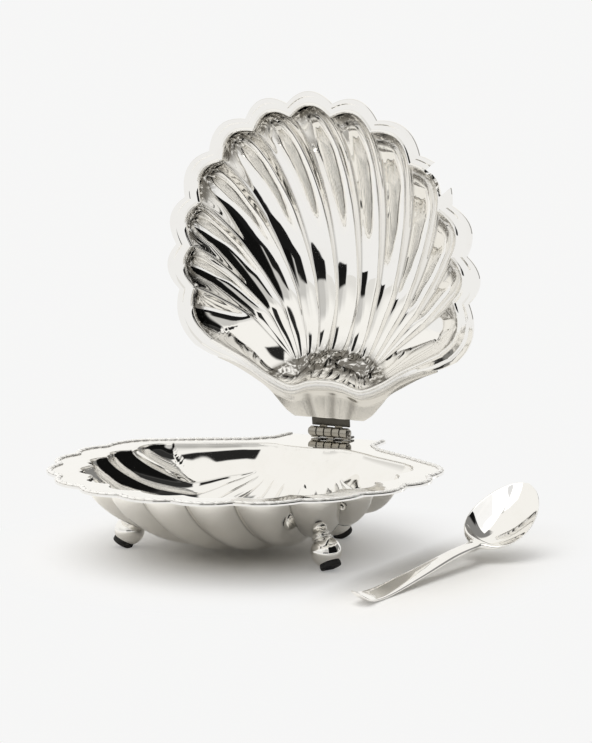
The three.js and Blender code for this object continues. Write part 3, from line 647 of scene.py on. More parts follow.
def add_apron(material):
    side = smooth_curve([APRON_EDGE] + APRON_SIDE, 12)
    edge = mirrored([(0, APRON_EDGE[1])] + [tuple(p) for p in side])
    outer = at_shares(edge, np.linspace(0, 1, APRON_COLUMNS + 1))
    _, back = lid_edge(4)
    band = back[::-1]
    spread = outer[:, 0] * APRON_NARROWING
    meet = np.interp(spread, band[:, 0], band[:, 1])
    places = np.zeros((APRON_COLUMNS + 1, APRON_ROWS + 1, 3))
    groove_shade = np.zeros((APRON_COLUMNS + 1, APRON_ROWS + 1))
    for row in range(APRON_ROWS + 1):
        part = row / APRON_ROWS
        x = spread + (outer[:, 0] - spread) * part
        s = meet + APRON_LAP + (outer[:, 1] - meet - APRON_LAP) * part
        beyond = meet - s
        rise = APRON_TUCK + (APRON_RISE - APRON_TUCK) * ease(beyond, GAP, APRON_STEP)
        fan = x / (APRON_EDGE[0] + GROOVE_SPREAD * (s - APRON_EDGE[1]))
        groove = sum(np.exp(-((fan - at) / GROOVE_WIDTH) ** 2) for at in GROOVE_FANS)
        rise = rise + GROOVE_DEPTH * groove * ease(beyond, *GROOVE_START)
        places[:, row] = lid_place(np.stack([x, s, LID_SHEET + GAP + rise], 1))
        # Painted shade darkens the grooves
        groove_shade[:, row] = groove * ease(beyond, *GROOVE_SHADE_START)
    bm, where = lattice(APRON_COLUMNS, APRON_ROWS, places)
    crease_shade = bm.verts.layers.float.new("crease_shade")
    for v in bm.verts:
        v[crease_shade] = float(groove_shade.flat[v[where]])
    bmesh.ops.reverse_faces(bm, faces=bm.faces)
    apron = piece_from(bm, "hinge_apron", material, "lid", ["lid_hinge_apron"])
    add_wall(apron, APRON_SHEET)
    soften_edges(apron, 0.3)
    return apron


# The hinge

KNUCKLES = 5
KNUCKLE_WIDTH = 3.5
KNUCKLE_RADIUS = 2.3
KNUCKLE_GAP = 0.3
PIN_RADIUS = 0.9
PIN_HEAD = (1.6, 0.6)
LEAF = 1.0
LEAF_ROUNDING = 0.3
WEB_ROUNDING = 0.15
KNUCKLE_ROUNDING = 0.35
LEAF_CLEARANCE = 0.05
LID_LEAF_REACH = 14.6
BASE_LEAF_REACH = 5.9
BARREL = KNUCKLES * KNUCKLE_WIDTH + (KNUCKLES - 1) * KNUCKLE_GAP


def at_axis(bm):
    """Moves what was made round the hinge's own axis to the dish, in metres."""
    bmesh.ops.scale(bm, verts=bm.verts, vec=(MM, MM, MM))
    bmesh.ops.translate(bm, verts=bm.verts, vec=Vector((0, CENTRE_S, AXIS_HEIGHT)) * MM)


def add_block(bm, low, high, bevel):
    """A box between two corners with rounded edges."""
    made = bmesh.ops.create_cube(bm, size=1)["verts"]
    for v in made:
        v.co = [a + (b - a) * (c + 0.5) for a, b, c in zip(low, high, v.co)]
    edges = list({e for v in made for e in v.link_edges})
    bmesh.ops.bevel(
        bm, geom=edges, offset=bevel, segments=3, affect="EDGES", profile=0.5, material=-1)


def turned_x(bm, profile, steps):
    """Spins a profile of x and radius round the X axis."""
    spin_profile(bm, [(x, 0, r) for x, r in profile], (1, 0, 0), steps)


def rounded_tube(x0, x1, outer, inner, soft):
    """Profile of a tube's wall with rounded outer edges, closed through its bore."""
    turns = [k / 3 * math.pi / 2 for k in (3, 2, 1, 0)]
    left = [(x0, inner)]
    left += [(x0 + soft * (1 - math.sin(t)), outer - soft * (1 - math.cos(t))) for t in turns]
    right = [(x0 + x1 - x, r) for x, r in left[::-1]]
    return left + right + [(x0, inner)]


def leaf_form(first, low, high, towards, reach):
    """One hinge leaf: its plate and every second knuckle, round the hinge's own axis."""
    bm = bmesh.new()
    near, far = sorted((towards * (KNUCKLE_RADIUS + LEAF_CLEARANCE), towards * reach))
    add_block(bm, (-BARREL / 2, near, low), (BARREL / 2, far, high), LEAF_ROUNDING)
    # The plate takes the second material, whose dark tone is painted shade
    for face in bm.faces:
        face.material_index = 1
    for index in range(first, KNUCKLES, 2):
        x0 = -BARREL / 2 + index * (KNUCKLE_WIDTH + KNUCKLE_GAP)
        near, far = sorted((0, towards * (KNUCKLE_RADIUS + 2 * GAP)))
        add_block(bm, (x0, near, low), (x0 + KNUCKLE_WIDTH, far, high), WEB_ROUNDING)
        tube = rounded_tube(
            x0, x0 + KNUCKLE_WIDTH, KNUCKLE_RADIUS, PIN_RADIUS + GAP, KNUCKLE_ROUNDING)
        turned_x(bm, tube, 40)
    merge_and_turn_out(bm, 1e-4)
    return bm


def add_hinge(material, plate_shade_material):
    plate = GAP - AXIS_ABOVE_RIM
    bm = leaf_form(0, plate, plate + LEAF, 1, BASE_LEAF_REACH)
    at_axis(bm)
    leaf = piece_from(bm, "base_leaf", material, "base", ["base_hinge_leaf"])
    leaf.data.materials.append(plate_shade_material)

    bm = leaf_form(1, KNUCKLE_RADIUS - LEAF, KNUCKLE_RADIUS, -1, LID_LEAF_REACH)
    bmesh.ops.rotate(bm, verts=bm.verts, cent=(0, 0, 0), matrix=Matrix.Rotation(-LID_ANGLE, 3, "X"))
    at_axis(bm)
    leaf = piece_from(bm, "lid_leaf", material, "lid", ["lid_hinge_leaf"])
    leaf.data.materials.append(plate_shade_material)

    end = BARREL / 2 + GAP
    head, thick = PIN_HEAD
    half = [(end, PIN_RADIUS), (end, head), (end + thick * 0.6, head), (end + thick, head * 0.7)]
    half += [(end + thick, 0.0)]
    bm = bmesh.new()
    turned_x(bm, [(-x, r) for x, r in half[::-1]] + half, 32)
    merge_and_turn_out(bm, 1e-4)
    at_axis(bm)
    piece_from(bm, "hinge_rod", material, "base", ["hinge_pin"])


# The feet

FOOT_TILT = math.radians(29)
BALL_RADIUS = 6.3
BALL_FLAT = 4.6
PAD_RADIUS = 4.35
PAD_THICKNESS = 2.2
COLLAR_RADIUS = 4.0
COLLAR_SIDES = 48
COLLAR_SINK = 0.8
COLLAR_LAP = 0.15
COLLAR_MOST, COLLAR_UNMET = 7, 2
# How much wider than the collar each of its rings is, and its share of the way up to the bowl
COLLAR_RINGS = [
    (-0.9, 0.0), (-0.2, 0.0), (0, 0.12), (0, 0.35), (-0.35, 0.5), (-0.3, 0.65), (0.25, 0.85),
    (0.35, 1.0)]


def foot_stand(name):
    """The foot's own axes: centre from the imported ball, +Z along its lean, away from the bowl."""
    low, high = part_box("foot_ball_" + name)
    centre = Vector(((low[0] + high[0]) / 2, (low[1] + high[1]) / 2, high[2] - BALL_RADIUS * MM))
    out = Vector((centre.x, centre.y, 0)).normalized()
    axis = out * math.sin(FOOT_TILT) - Vector((0, 0, math.cos(FOOT_TILT)))
    turn = Vector((0, 0, 1)).rotation_difference(axis).to_matrix().to_4x4()
    return Matrix.Translation(centre) @ turn @ Matrix.Scale(MM, 4)


def close_cut(bm, plane, normal):
    """Cuts a closed body at a plane and closes it again."""
    cut = bmesh.ops.bisect_plane(
        bm, geom=bm.verts[:] + bm.edges[:] + bm.faces[:], plane_co=plane, plane_no=normal,
        clear_outer=True)
    rim = [e for e in cut["geom_cut"] if isinstance(e, bmesh.types.BMEdge)]
    bmesh.ops.holes_fill(bm, edges=rim, sides=0)


def add_ball(name, stand, material):
    bm = bmesh.new()
    bmesh.ops.create_uvsphere(bm, u_segments=56, v_segments=40, radius=BALL_RADIUS)
    close_cut(bm, (0, 0, BALL_FLAT), (0, 0, 1))
    bm.transform(stand)
    piece_from(bm, "ball_" + name, material, "base", ["foot_ball_" + name])


def add_pad(name, stand, material):
    top = BALL_FLAT + GAP * 0.5
    profile = [
        (0, top), (PAD_RADIUS - 0.2, top), (PAD_RADIUS, top + 0.3),
        (PAD_RADIUS, top + PAD_THICKNESS * 0.7), (PAD_RADIUS - 0.25, top + PAD_THICKNESS * 0.92),
        (PAD_RADIUS - 0.7, top + PAD_THICKNESS), (0, top + PAD_THICKNESS)]
    bm = bmesh.new()
    spin_profile(bm, [(r, 0, h) for r, h in profile], (0, 0, 1), 56)
    merge_and_turn_out(bm, 1e-4)
    bm.transform(stand)
    close_cut(bm, (0, 0, 0), (0, 0, -1))
    piece_from(bm, "pad_" + name, material, "base", ["foot_pad_" + name])


def add_collar(name, stand, tree, material):
    """A short collar from the ball to the bowl; its upper edge follows the bowl's outside."""
    seat = -math.sqrt(BALL_RADIUS ** 2 - (COLLAR_RADIUS - COLLAR_SINK) ** 2)
    upward = (stand.to_3x3() @ Vector((0, 0, -1))).normalized()
    places = np.zeros((COLLAR_SIDES + 1, len(COLLAR_RINGS), 3))
    for k in range(COLLAR_SIDES + 1):
        turn = 2 * math.pi * (k % COLLAR_SIDES) / COLLAR_SIDES
        for j, (wider, part) in enumerate(COLLAR_RINGS):
            radius = COLLAR_RADIUS + wider
            foot = stand @ Vector((radius * math.cos(turn), radius * math.sin(turn), seat))
            hit, _, _, far = tree.ray_cast(foot, upward)
            rise = min(far, COLLAR_MOST * MM) if hit else COLLAR_UNMET * MM
            places[k, j] = foot + upward * (rise + COLLAR_LAP * MM) * part
    bm, _ = lattice(COLLAR_SIDES, len(COLLAR_RINGS) - 1, places)
    merge_and_turn_out(bm, 1e-6, fill=True)
    piece_from(bm, "collar_" + name, material, "base", ["foot_collar_" + name])


def add_feet(bowl, material, pad_material):
    tree = BVHTree.FromObject(bowl, bpy.context.evaluated_depsgraph_get())
    for pair in ("front", "back"):
        for side in ("left", "right"):
            name = pair + "_" + side
            stand = foot_stand(name)
            add_ball(name, stand, material)
            add_pad(name, stand, pad_material)
            add_collar(name, stand, tree, material)


# The spoon

SPOON_LENGTH = 127.8
SPOON_BOWL = (38.6, 26.2, 6.8)
SPOON_RIM_BOW = 2.0
SPOON_HANDLE_WIDTH = 8.4
SPOON_NECK_WIDTH = 4.9
SPOON_SHEET = 1.6
SPOON_NECK_HEIGHT = 7.4
SPOON_TIP_HEIGHT = 3.8
SPOON_EGG = 0.93
SPOON_BOWL_PITCH = math.radians(31.4)
SPOON_ROLL = math.radians(16.3)
SPOON_PLACE = (85.2, 141.1)
SPOON_HEADING = math.radians(5.2)
SPOON_SIDES = 40
SPOON_STATIONS = 60
# The handle's spine from its tip: share of the way to the neck, and height
SPOON_SPINE = [
    (0, SPOON_TIP_HEIGHT), (0.08, 1.3), (0.2, 0.6), (0.5, 3.2), (0.8, 6.6), (1, SPOON_NECK_HEIGHT)]
HANDLE_END = 0.05
HANDLE_TAPER_END = 0.92
BOWL_OPENED = 0.25


def spoon_sections():
    """Stations along the spoon: y, z, half width, sag and thickness."""
    bowl_length, bowl_width, bowl_depth = SPOON_BOWL
    neck = SPOON_LENGTH - bowl_length
    spine = smooth_curve([(neck * part, height) for part, height in SPOON_SPINE], 30)
    out = []
    for share in 1 - np.cos(np.linspace(0, 1, SPOON_STATIONS) * math.pi / 2):
        y, z = at_shares(spine, [share])[0]
        end = math.sqrt(max(1 - (1 - min(share / HANDLE_END, 1)) ** 2, 0.0))
        taper = 0.5 + 0.5 * math.cos(math.pi * min(share / HANDLE_TAPER_END, 1))
        half = (SPOON_NECK_WIDTH + (SPOON_HANDLE_WIDTH - SPOON_NECK_WIDTH) * taper) / 2
        thick = SPOON_SHEET * (1 + 0.7 * (1 - taper)) * max(end, 0.05)
        out.append((y, z, half * end, 0.25 * taper, thick))
    for share in np.sin(np.linspace(0, 1, SPOON_STATIONS)[1:] * math.pi / 2):
        round_part = math.sqrt(max(1 - (2 * share ** SPOON_EGG - 1) ** 2, 0))
        opened = ease(share, 0, BOWL_OPENED)
        half = max(bowl_width / 2 * round_part, SPOON_NECK_WIDTH / 2 * max(1 - share, 0) ** 0.5)
        sag = 0.0
        if share < 0.9999:
            sag = bowl_depth * opened * math.sin(math.pi * share ** 0.85) ** 0.8
        y = neck + bowl_length * share * math.cos(SPOON_BOWL_PITCH)
        z = SPOON_NECK_HEIGHT + bowl_length * share * math.sin(SPOON_BOWL_PITCH)
        z -= 4 * SPOON_RIM_BOW * share * (1 - share)
        thick = SPOON_SHEET * (1.7 - 0.9 * opened) * (1 if share < 0.9995 else 0.3)
        out.append((y, z, half, sag, thick))
    return out


def add_spoon(material):
    sections = spoon_sections()
    places = np.zeros((len(sections), SPOON_SIDES + 1, 3))
    for i, (y, z, half, sag, thick) in enumerate(sections):
        for k in range(SPOON_SIDES + 1):
            turn = 2 * math.pi * k / SPOON_SIDES
            across = math.cos(turn)
            up = math.sin(turn) if k % SPOON_SIDES else 0.0
            wall = math.copysign(abs(up) ** 0.5, up)
            middle = -sag * (1 - across ** 2) - thick / 2
            places[i, k] = (half * across, y, z + middle + thick / 2 * wall)
    bm, _ = lattice(len(sections) - 1, SPOON_SIDES, places)
    merge_and_turn_out(bm, 1e-3, fill=True)
    bm.transform(Matrix.Rotation(-SPOON_HEADING, 4, "Z") @ Matrix.Rotation(SPOON_ROLL, 4, "Y"))
    lowest = min(v.co.z for v in bm.verts)
    bm.transform(Matrix.Translation((SPOON_PLACE[0], CENTRE_S - SPOON_PLACE[1], -lowest)))
    bm.transform(Matrix.Scale(MM, 4))
    return piece_from(bm, "teaspoon", material, "spoon", ["spoon"])


# Shader nodes

def new_material(name):
    """A material with its nodes, its links and its Principled BSDF."""
    material = bpy.data.materials.new(name)
    material.use_nodes = True
    nodes, links = material.node_tree.nodes, material.node_tree.links
    return material, nodes, links, nodes["Principled BSDF"]


def put(links, value, socket):
    """Sets a socket to a value, or links it to another socket."""
    if isinstance(value, bpy.types.NodeSocket):
        links.new(value, socket)
    else:
        socket.default_value = value


def number_node(nodes, links, operation, *values):
    """A Math node that takes numbers and sockets alike."""
    node = nodes.new("ShaderNodeMath")
    node.operation = operation
    for socket, value in zip(node.inputs, values):
        put(links, value, socket)
    return node.outputs["Value"]


def map_range(nodes, links, value, given, wanted=(0.0, 1.0), smooth=False):
    """Maps one range of numbers to another and holds them at its ends."""
    node = nodes.new("ShaderNodeMapRange")
    if smooth:
        node.interpolation_type = "SMOOTHSTEP"
    for name, end in zip(("From Min", "From Max", "To Min", "To Max"), (*given, *wanted)):
        node.inputs[name].default_value = end
    links.new(value, node.inputs["Value"])
    return node.outputs["Result"]


def smooth_step(nodes, links, value, low, high):
    return map_range(nodes, links, value, (low, high), smooth=True)


def distance_node(nodes, links, vector, stretch=None, offset=None):
    """Length of a vector, which may be stretched and moved first."""
    if stretch is not None:
        moved = nodes.new("ShaderNodeVectorMath")
        moved.operation = "MULTIPLY_ADD"
        moved.inputs[1].default_value = stretch
        moved.inputs[2].default_value = offset
        links.new(vector, moved.inputs[0])
        vector = moved.outputs["Vector"]
    length = nodes.new("ShaderNodeVectorMath")
    length.operation = "LENGTH"
    links.new(vector, length.inputs[0])
    return length.outputs["Value"]


def noise(nodes, links, vector, scale, detail, roughness=0.5, distortion=0.0):
    node = nodes.new("ShaderNodeTexNoise")
    for name, value in (("Vector", vector), ("Scale", scale), ("Detail", detail),
                        ("Roughness", roughness), ("Distortion", distortion)):
        put(links, value, node.inputs[name])
    return node.outputs["Fac"]


def attribute(nodes, name, output="Fac"):
    node = nodes.new("ShaderNodeAttribute")
    node.attribute_name = name
    return node.outputs[output]


def plain_shader(nodes, links, kind, color):
    """An Emission or a Background, of one colour or of a socket's."""
    node = nodes.new("ShaderNode" + kind)
    put(links, color, node.inputs["Color"])
    return node.outputs[kind]


def shader_mix(nodes, links, share, first, second):
    node = nodes.new("ShaderNodeMixShader")
    for socket, value in zip(node.inputs, (share, first, second)):
        links.new(value, socket)
    return node.outputs["Shader"]


def tone_mix(nodes, links, share, first, second):
    """A blend of two tones, each a colour or a socket."""
    mix = nodes.new("ShaderNodeMix")
    mix.data_type = "RGBA"
    links.new(share, mix.inputs["Factor"])
    for socket, value in ((mix.inputs["A"], first), (mix.inputs["B"], second)):
        put(links, (*value, 1) if isinstance(value, tuple) else value, socket)
    return mix.outputs["Result"]


def add_bump(nodes, links, bsdf, height, distance):
    bump = nodes.new("ShaderNodeBump")
    bump.inputs["Distance"].default_value = distance * MM
    links.new(height, bump.inputs["Height"])
    links.new(bump.outputs["Normal"], bsdf.inputs["Normal"])


# Finishes

PALE = (0.925, 0.912, 0.885)
OUTER_TONE = (0.885, 0.868, 0.832)
APRON_TONE = (0.78, 0.76, 0.72)
BEAD_TONE = (0.93, 0.915, 0.885)
HINGE_TONE = (0.36, 0.34, 0.30)
# The hinge plates' dark tone is painted shade under the apron and the barrel
PLATE_SHADE_TONE = (0.09, 0.085, 0.075)
# Tone of the painted shade in the hollows and creases
PAINTED_SHADE_TONE = (0.15, 0.138, 0.118)
WORN_SHARES = (0.80, 0.76, 0.68)
BAND_ROUGHNESS = 0.26
MARKS_SCALE = 90.0
WAVES_SCALE = 110.0
STREAKS_SCALE = 9.0
STREAK_EDGES = (0.34, 0.52)
ROUGH_MARKS = (0.35, 0.7)
STAINED_MARKS = (0.5, 0.75)
RUBBER_GRAIN = 1400.0


def polish_marks():
    """Wiping marks, waves of the pressed sheet, and painted shade in hollows and creases, for all
    the silver.
    """
    group = bpy.data.node_groups.new("polish_marks", "ShaderNodeTree")
    group.interface.new_socket("Vector", in_out="INPUT", socket_type="NodeSocketVector")
    group.interface.new_socket("Scale", in_out="INPUT", socket_type="NodeSocketFloat")
    for name in ("Marks", "Waves", "Hollow_shade", "Crease_shade"):
        group.interface.new_socket(name, in_out="OUTPUT", socket_type="NodeSocketFloat")
    nodes, links = group.nodes, group.links
    given = nodes.new("NodeGroupInput")
    out = nodes.new("NodeGroupOutput")
    place = given.outputs["Vector"]
    marks = noise(nodes, links, place, given.outputs["Scale"], 6.0, roughness=0.6)
    waves = noise(nodes, links, place, WAVES_SCALE, 1.0)
    streaks = noise(
        nodes, links, attribute(nodes, "streaks", "Vector"), STREAKS_SCALE, 3.0, distortion=1.4)
    streaks = smooth_step(nodes, links, streaks, *STREAK_EDGES)
    # Painted shade in the hollows, made mottled by the streaks
    painted_hollow_shade = number_node(nodes, links, "MULTIPLY", attribute(nodes, "hollow_shade"), streaks)
    links.new(marks, out.inputs["Marks"])
    links.new(waves, out.inputs["Waves"])
    links.new(painted_hollow_shade, out.inputs["Hollow_shade"])
    links.new(attribute(nodes, "crease_shade"), out.inputs["Crease_shade"])
    return group


def silver(name, group, color, low_rough, high_rough, tarnish, waves,
           painted_hollow_shade=0.0, painted_crease_shade=0.0, metal=1.0):
    """Silver whose tarnish gathers in its marks, with painted shade by choice in its hollows and
    creases.
    """
    material, nodes, links, bsdf = new_material(name)
    bsdf.inputs["Metallic"].default_value = metal
    place = nodes.new("ShaderNodeTexCoord")
    marks = nodes.new("ShaderNodeGroup")
    marks.node_tree = group
    marks.inputs["Scale"].default_value = MARKS_SCALE
    links.new(place.outputs["Object"], marks.inputs["Vector"])
    rough = map_range(nodes, links, marks.outputs["Marks"], ROUGH_MARKS, (low_rough, high_rough))
    brushed = number_node(nodes, links, "MULTIPLY", attribute(nodes, "band"), BAND_ROUGHNESS)
    links.new(number_node(nodes, links, "MAXIMUM", rough, brushed), bsdf.inputs["Roughness"])
    stain = map_range(nodes, links, marks.outputs["Marks"], STAINED_MARKS, (0.0, tarnish))
    worn = tuple(part * share for part, share in zip(color, WORN_SHARES))
    tone = tone_mix(nodes, links, stain, color, worn)
    # Painted shade: the hollows and creases are blended towards a dark tone
    if painted_hollow_shade or painted_crease_shade:
        dark = number_node(nodes, links, "MULTIPLY", marks.outputs["Hollow_shade"], painted_hollow_shade)
        line = number_node(nodes, links, "MULTIPLY", marks.outputs["Crease_shade"], painted_crease_shade)
        darkest = number_node(nodes, links, "MAXIMUM", dark, line)
        tone = tone_mix(nodes, links, darkest, tone, PAINTED_SHADE_TONE)
    links.new(tone, bsdf.inputs["Base Color"])
    add_bump(nodes, links, bsdf, marks.outputs["Waves"], waves)
    return material


def black_rubber():
    material, nodes, links, bsdf = new_material("black_rubber")
    bsdf.inputs["Roughness"].default_value = 0.7
    place = nodes.new("ShaderNodeTexCoord")
    grain = noise(nodes, links, place.outputs["Object"], RUBBER_GRAIN, 4.0)
    tone = tone_mix(nodes, links, grain, (0.006, 0.006, 0.006), (0.022, 0.021, 0.020))
    links.new(tone, bsdf.inputs["Base Color"])
    add_bump(nodes, links, bsdf, grain, 0.03)
    return material


# Camera, floor and light

CAMERA_PLACE = (0.48328, -0.83921, 0.21056)
CAMERA_YAW = math.radians(28.757)
CAMERA_PITCH = math.radians(7.983)
CAMERA_ROLL = math.radians(-0.258)
CAMERA_LENS = 114.78
CAMERA_SENSOR = 36.0

BACKGROUND = (0.925, 0.925, 0.922, 1)
FILL = (0.44, 0.44, 0.435, 1)
ROOM_LEVEL = 0.98
ROOM_TINT = (1.0, 0.99, 0.96)
FLOOR_TONE = (0.93, 0.915, 0.885, 1)
SHADED_FLOOR = (0.01, 0.01, 0.01, 1)

# What the silver mirrors: bearing from behind through the right, height, half width, half height
# and softness in degrees, then how bright the card is
STUDIO_CARDS = [
    (158.0, 8.0, 24.0, 16.0, 8.0, 0.76),
    (206.0, 1.0, 34.0, 11.0, 7.0, 0.80),
    (50.0, 35.0, 32.0, 48.0, 6.0, 0.24),
    (97.0, 15.0, 37.0, 30.0, 3.0, 0.006),
    (98.0, 52.0, 30.0, 10.0, 4.0, 0.03),
    (148.0, 16.0, 14.0, 14.0, 5.0, 0.60),
    (155.0, 53.0, 13.0, 11.0, 1.5, 0.02),
    (155.0, -2.0, 18.0, 9.0, 2.0, 0.012),
]
# Floor that lies in shade, seen only by the silver
FLOOR_SHADE = (116.0, 0.0, 58.0, 90.0, 4.0)
FLOOR_END = (0.50, 0.54)
# How far from the dish's middle the floor turns into the background's white: as the eye sees it,
# beside the spoon, in a plan stretched and moved to it, and as the silver mirrors it
FADE_SEEN = (0.02, 0.118)
FADE_SPOON = (0.012, 0.05)
SPOON_STRETCH = (1.0, 0.4, 1.0)
SPOON_OFFSET = (-0.09, 0.002, 0.0)
FADE_MIRRORED = (0.085, 0.20)

DISH_MIDDLE = (0, 0, 0.03)
SPOON_MIDDLE = (0.1, -0.05, 0.03)
TOP_BOX = ((-0.35, -0.30, 1.25), DISH_MIDDLE, 1.4, 15)
SPOON_BOXES = [
    ((0.40, -0.10, 0.38), SPOON_MIDDLE, 0.50, 0.78),
    ((0.217, -0.301, 0.397), SPOON_MIDDLE, 0.32, 0.26),
]


def add_camera():
    right = Vector((math.cos(CAMERA_YAW), math.sin(CAMERA_YAW), 0))
    ahead = Vector((-math.sin(CAMERA_YAW), math.cos(CAMERA_YAW), 0))
    forward = ahead * math.cos(CAMERA_PITCH) - Vector((0, 0, math.sin(CAMERA_PITCH)))
    up = right.cross(forward)
    side = math.cos(CAMERA_ROLL) * right + math.sin(CAMERA_ROLL) * up
    rise = -math.sin(CAMERA_ROLL) * right + math.cos(CAMERA_ROLL) * up
    data = bpy.data.cameras.new("camera")
    data.sensor_fit = "VERTICAL"
    data.sensor_height = CAMERA_SENSOR
    data.lens = CAMERA_LENS
    data.clip_start = 0.01
    data.clip_end = 50
    data.dof.use_dof = False
    camera = new_object("camera", data)
    matrix = Matrix((side, rise, -forward)).transposed().to_4x4()
    matrix.translation = Vector(CAMERA_PLACE)
    camera.matrix_world = matrix
    bpy.context.scene.camera = camera


def card_mask(nodes, links, bearing, height, card):
    """How far a direction lies inside one card of the studio, with soft edges."""
    at, up, half_width, half_height, soft = card
    offset = number_node(nodes, links, "SUBTRACT", bearing, at)
    offset = number_node(nodes, links, "WRAP", offset, 180.0, -180.0)
    above = number_node(nodes, links, "SUBTRACT", height, up)
    sides = []
    for value, half in ((offset, half_width), (above, half_height)):
        off = number_node(nodes, links, "ABSOLUTE", value)
        sides.append(smooth_step(nodes, links, off, half + soft, half - soft))
    return number_node(nodes, links, "MULTIPLY", *sides)


def bearing_and_height(nodes, links, vector):
    """Degrees round from behind the dish through its right, and degrees above the floor."""
    unit = nodes.new("ShaderNodeVectorMath")
    unit.operation = "NORMALIZE"
    links.new(vector, unit.inputs[0])
    parts = nodes.new("ShaderNodeSeparateXYZ")
    links.new(unit.outputs["Vector"], parts.inputs["Vector"])
    bearing = number_node(nodes, links, "ARCTAN2", parts.outputs["X"], parts.outputs["Y"])
    height = number_node(nodes, links, "ARCSINE", parts.outputs["Z"])
    return [number_node(nodes, links, "DEGREES", angle) for angle in (bearing, height)]


def floor_paper():
    """Pale paper that turns white away from the dish, and that the silver sees partly shaded."""
    material, nodes, links, bsdf = new_material("floor_paper")
    bsdf.inputs["Base Color"].default_value = FLOOR_TONE
    bsdf.inputs["Roughness"].default_value = 0.9
    bsdf.inputs["Specular IOR Level"].default_value = 0.1
    place = nodes.new("ShaderNodeTexCoord").outputs["Object"]
    path = nodes.new("ShaderNodeLightPath")
    away = distance_node(nodes, links, place)
    beside = distance_node(nodes, links, place, SPOON_STRETCH, SPOON_OFFSET)
    seen = number_node(
        nodes, links, "MINIMUM", smooth_step(nodes, links, away, *FADE_SEEN),
        smooth_step(nodes, links, beside, *FADE_SPOON))
    seen = number_node(nodes, links, "MULTIPLY", seen, path.outputs["Is Camera Ray"])
    glossy = path.outputs["Is Glossy Ray"]
    faded = smooth_step(nodes, links, away, *FADE_MIRRORED)
    mirrored_white = number_node(nodes, links, "MULTIPLY", faded, glossy)
    white = number_node(nodes, links, "MAXIMUM", seen, mirrored_white)
    glow = plain_shader(nodes, links, "Emission", BACKGROUND)
    paper = shader_mix(nodes, links, white, bsdf.outputs["BSDF"], glow)
    bearing, height = bearing_and_height(nodes, links, place)
    shade = number_node(
        nodes, links, "MULTIPLY", card_mask(nodes, links, bearing, height, FLOOR_SHADE),
        smooth_step(nodes, links, away, *FLOOR_END))
    shade = number_node(nodes, links, "MULTIPLY", shade, glossy)
    dark = plain_shader(nodes, links, "Emission", SHADED_FLOOR)
    ended = shader_mix(nodes, links, shade, paper, dark)
    links.new(ended, nodes["Material Output"].inputs["Surface"])
    return material


def add_floor():
    """A wide pale floor, which turns into the white of the background away from the dish."""
    bm = bmesh.new()
    bmesh.ops.create_grid(bm, x_segments=12, y_segments=12, size=6.0)
    floor = mesh_object(bm, "floor", floor_paper())


def area_light(name, place, target, side, power, mirrored_by=None):
    """A soft box that no piece mirrors, or one that lights only the pieces that mirror it."""
    data = bpy.data.lights.new(name, "AREA")
    data.shape = "RECTANGLE"
    data.size = data.size_y = side
    data.energy = power
    light = new_object(name, data)
    light.location = place
    light.rotation_euler = (Vector(target) - Vector(place)).to_track_quat("-Z", "Y").to_euler()
    if mirrored_by is None:
        light.visible_glossy = False
    else:
        pieces = bpy.data.collections.new(name + "_pieces")
        for piece in mirrored_by:
            pieces.objects.link(piece)
        light.light_linking.receiver_collection = pieces


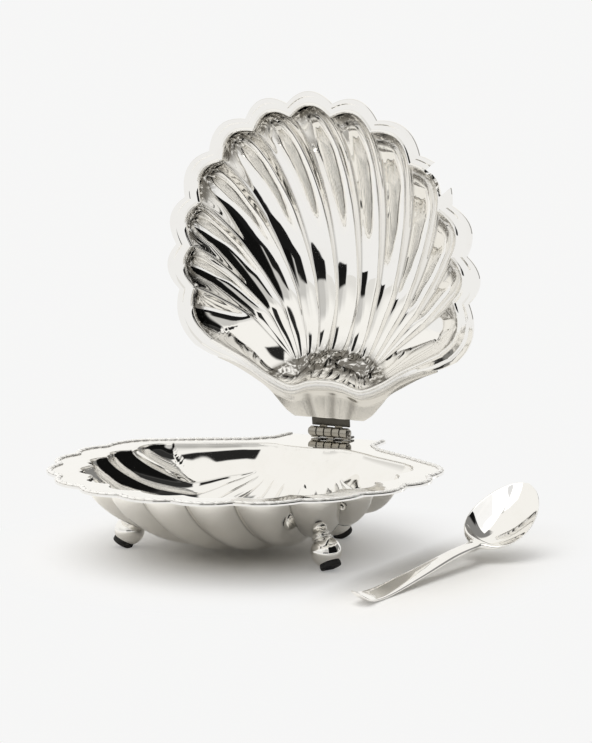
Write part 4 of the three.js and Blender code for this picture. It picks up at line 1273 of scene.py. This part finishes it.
def add_world():
    """White round the dish for the camera; the silver also mirrors the studio's flags and cards."""
    world = bpy.data.worlds.new("studio")
    bpy.context.scene.world = world
    world.use_nodes = True
    nodes, links = world.node_tree.nodes, world.node_tree.links
    nodes.clear()
    out = nodes.new("ShaderNodeOutputWorld")
    path = nodes.new("ShaderNodeLightPath")
    place = nodes.new("ShaderNodeTexCoord")
    bearing, height = bearing_and_height(nodes, links, place.outputs["Generated"])
    level = ROOM_LEVEL
    for *card, card_level in STUDIO_CARDS:
        mix = nodes.new("ShaderNodeMix")
        mask = card_mask(nodes, links, bearing, height, card)
        for name, value in (("Factor", mask), ("A", level), ("B", card_level)):
            put(links, value, mix.inputs[name])
        level = mix.outputs["Result"]
    tone = tone_mix(nodes, links, level, (0, 0, 0), ROOM_TINT)
    fill, mirrored_room, white = [
        plain_shader(nodes, links, "Background", color) for color in (FILL, tone, BACKGROUND)]
    room = shader_mix(nodes, links, path.outputs["Is Glossy Ray"], fill, mirrored_room)
    studio = shader_mix(nodes, links, path.outputs["Is Camera Ray"], room, white)
    links.new(studio, out.inputs["Surface"])


MARKS = polish_marks()
SILVER = silver("polished_silver", MARKS, PALE, 0.02, 0.06, 0.12, 0.05)
# The lid, bowl and outside take painted shade in their hollows and creases
LID_SILVER = silver("lid_silver", MARKS, PALE, 0.02, 0.06, 0.12, 0.07, painted_hollow_shade=0.95, painted_crease_shade=0.4)
BOWL_SILVER = silver("bowl_silver", MARKS, PALE, 0.02, 0.06, 0.12, 0.05, painted_crease_shade=0.3)
OUTER_SILVER = silver("outer_silver", MARKS, OUTER_TONE, 0.05, 0.12, 0.2, 0.05, painted_crease_shade=0.75)
APRON_SILVER = silver("apron_silver", MARKS, APRON_TONE, 0.13, 0.18, 0.12, 0.05, painted_crease_shade=0.5)
BEADED = silver("beaded_silver", MARKS, BEAD_TONE, 0.2, 0.3, 0.3, 0.03, metal=0.3)
HINGE = silver("hinge_silver", MARKS, HINGE_TONE, 0.12, 0.24, 0.8, 0.05)
HINGE_PLATE_SHADE = silver("plate_shade_silver", MARKS, PLATE_SHADE_TONE, 0.2, 0.35, 0.6, 0.05)
RUBBER = black_rubber()

bpy.context.scene.view_settings.view_transform = "Standard"
add_camera()
add_floor()
add_world()
bowl = add_bowl(BOWL_SILVER, OUTER_SILVER)
add_lid(LID_SILVER, OUTER_SILVER)
add_bead_border(BEADED)
add_apron(APRON_SILVER)
add_hinge(HINGE, HINGE_PLATE_SHADE)
add_feet(bowl, SILVER, RUBBER)
spoon = add_spoon(SILVER)
area_light("top_box", *TOP_BOX)
for index, box in enumerate(SPOON_BOXES):
    area_light(f"spoon_box_{index}", *box, [spoon])
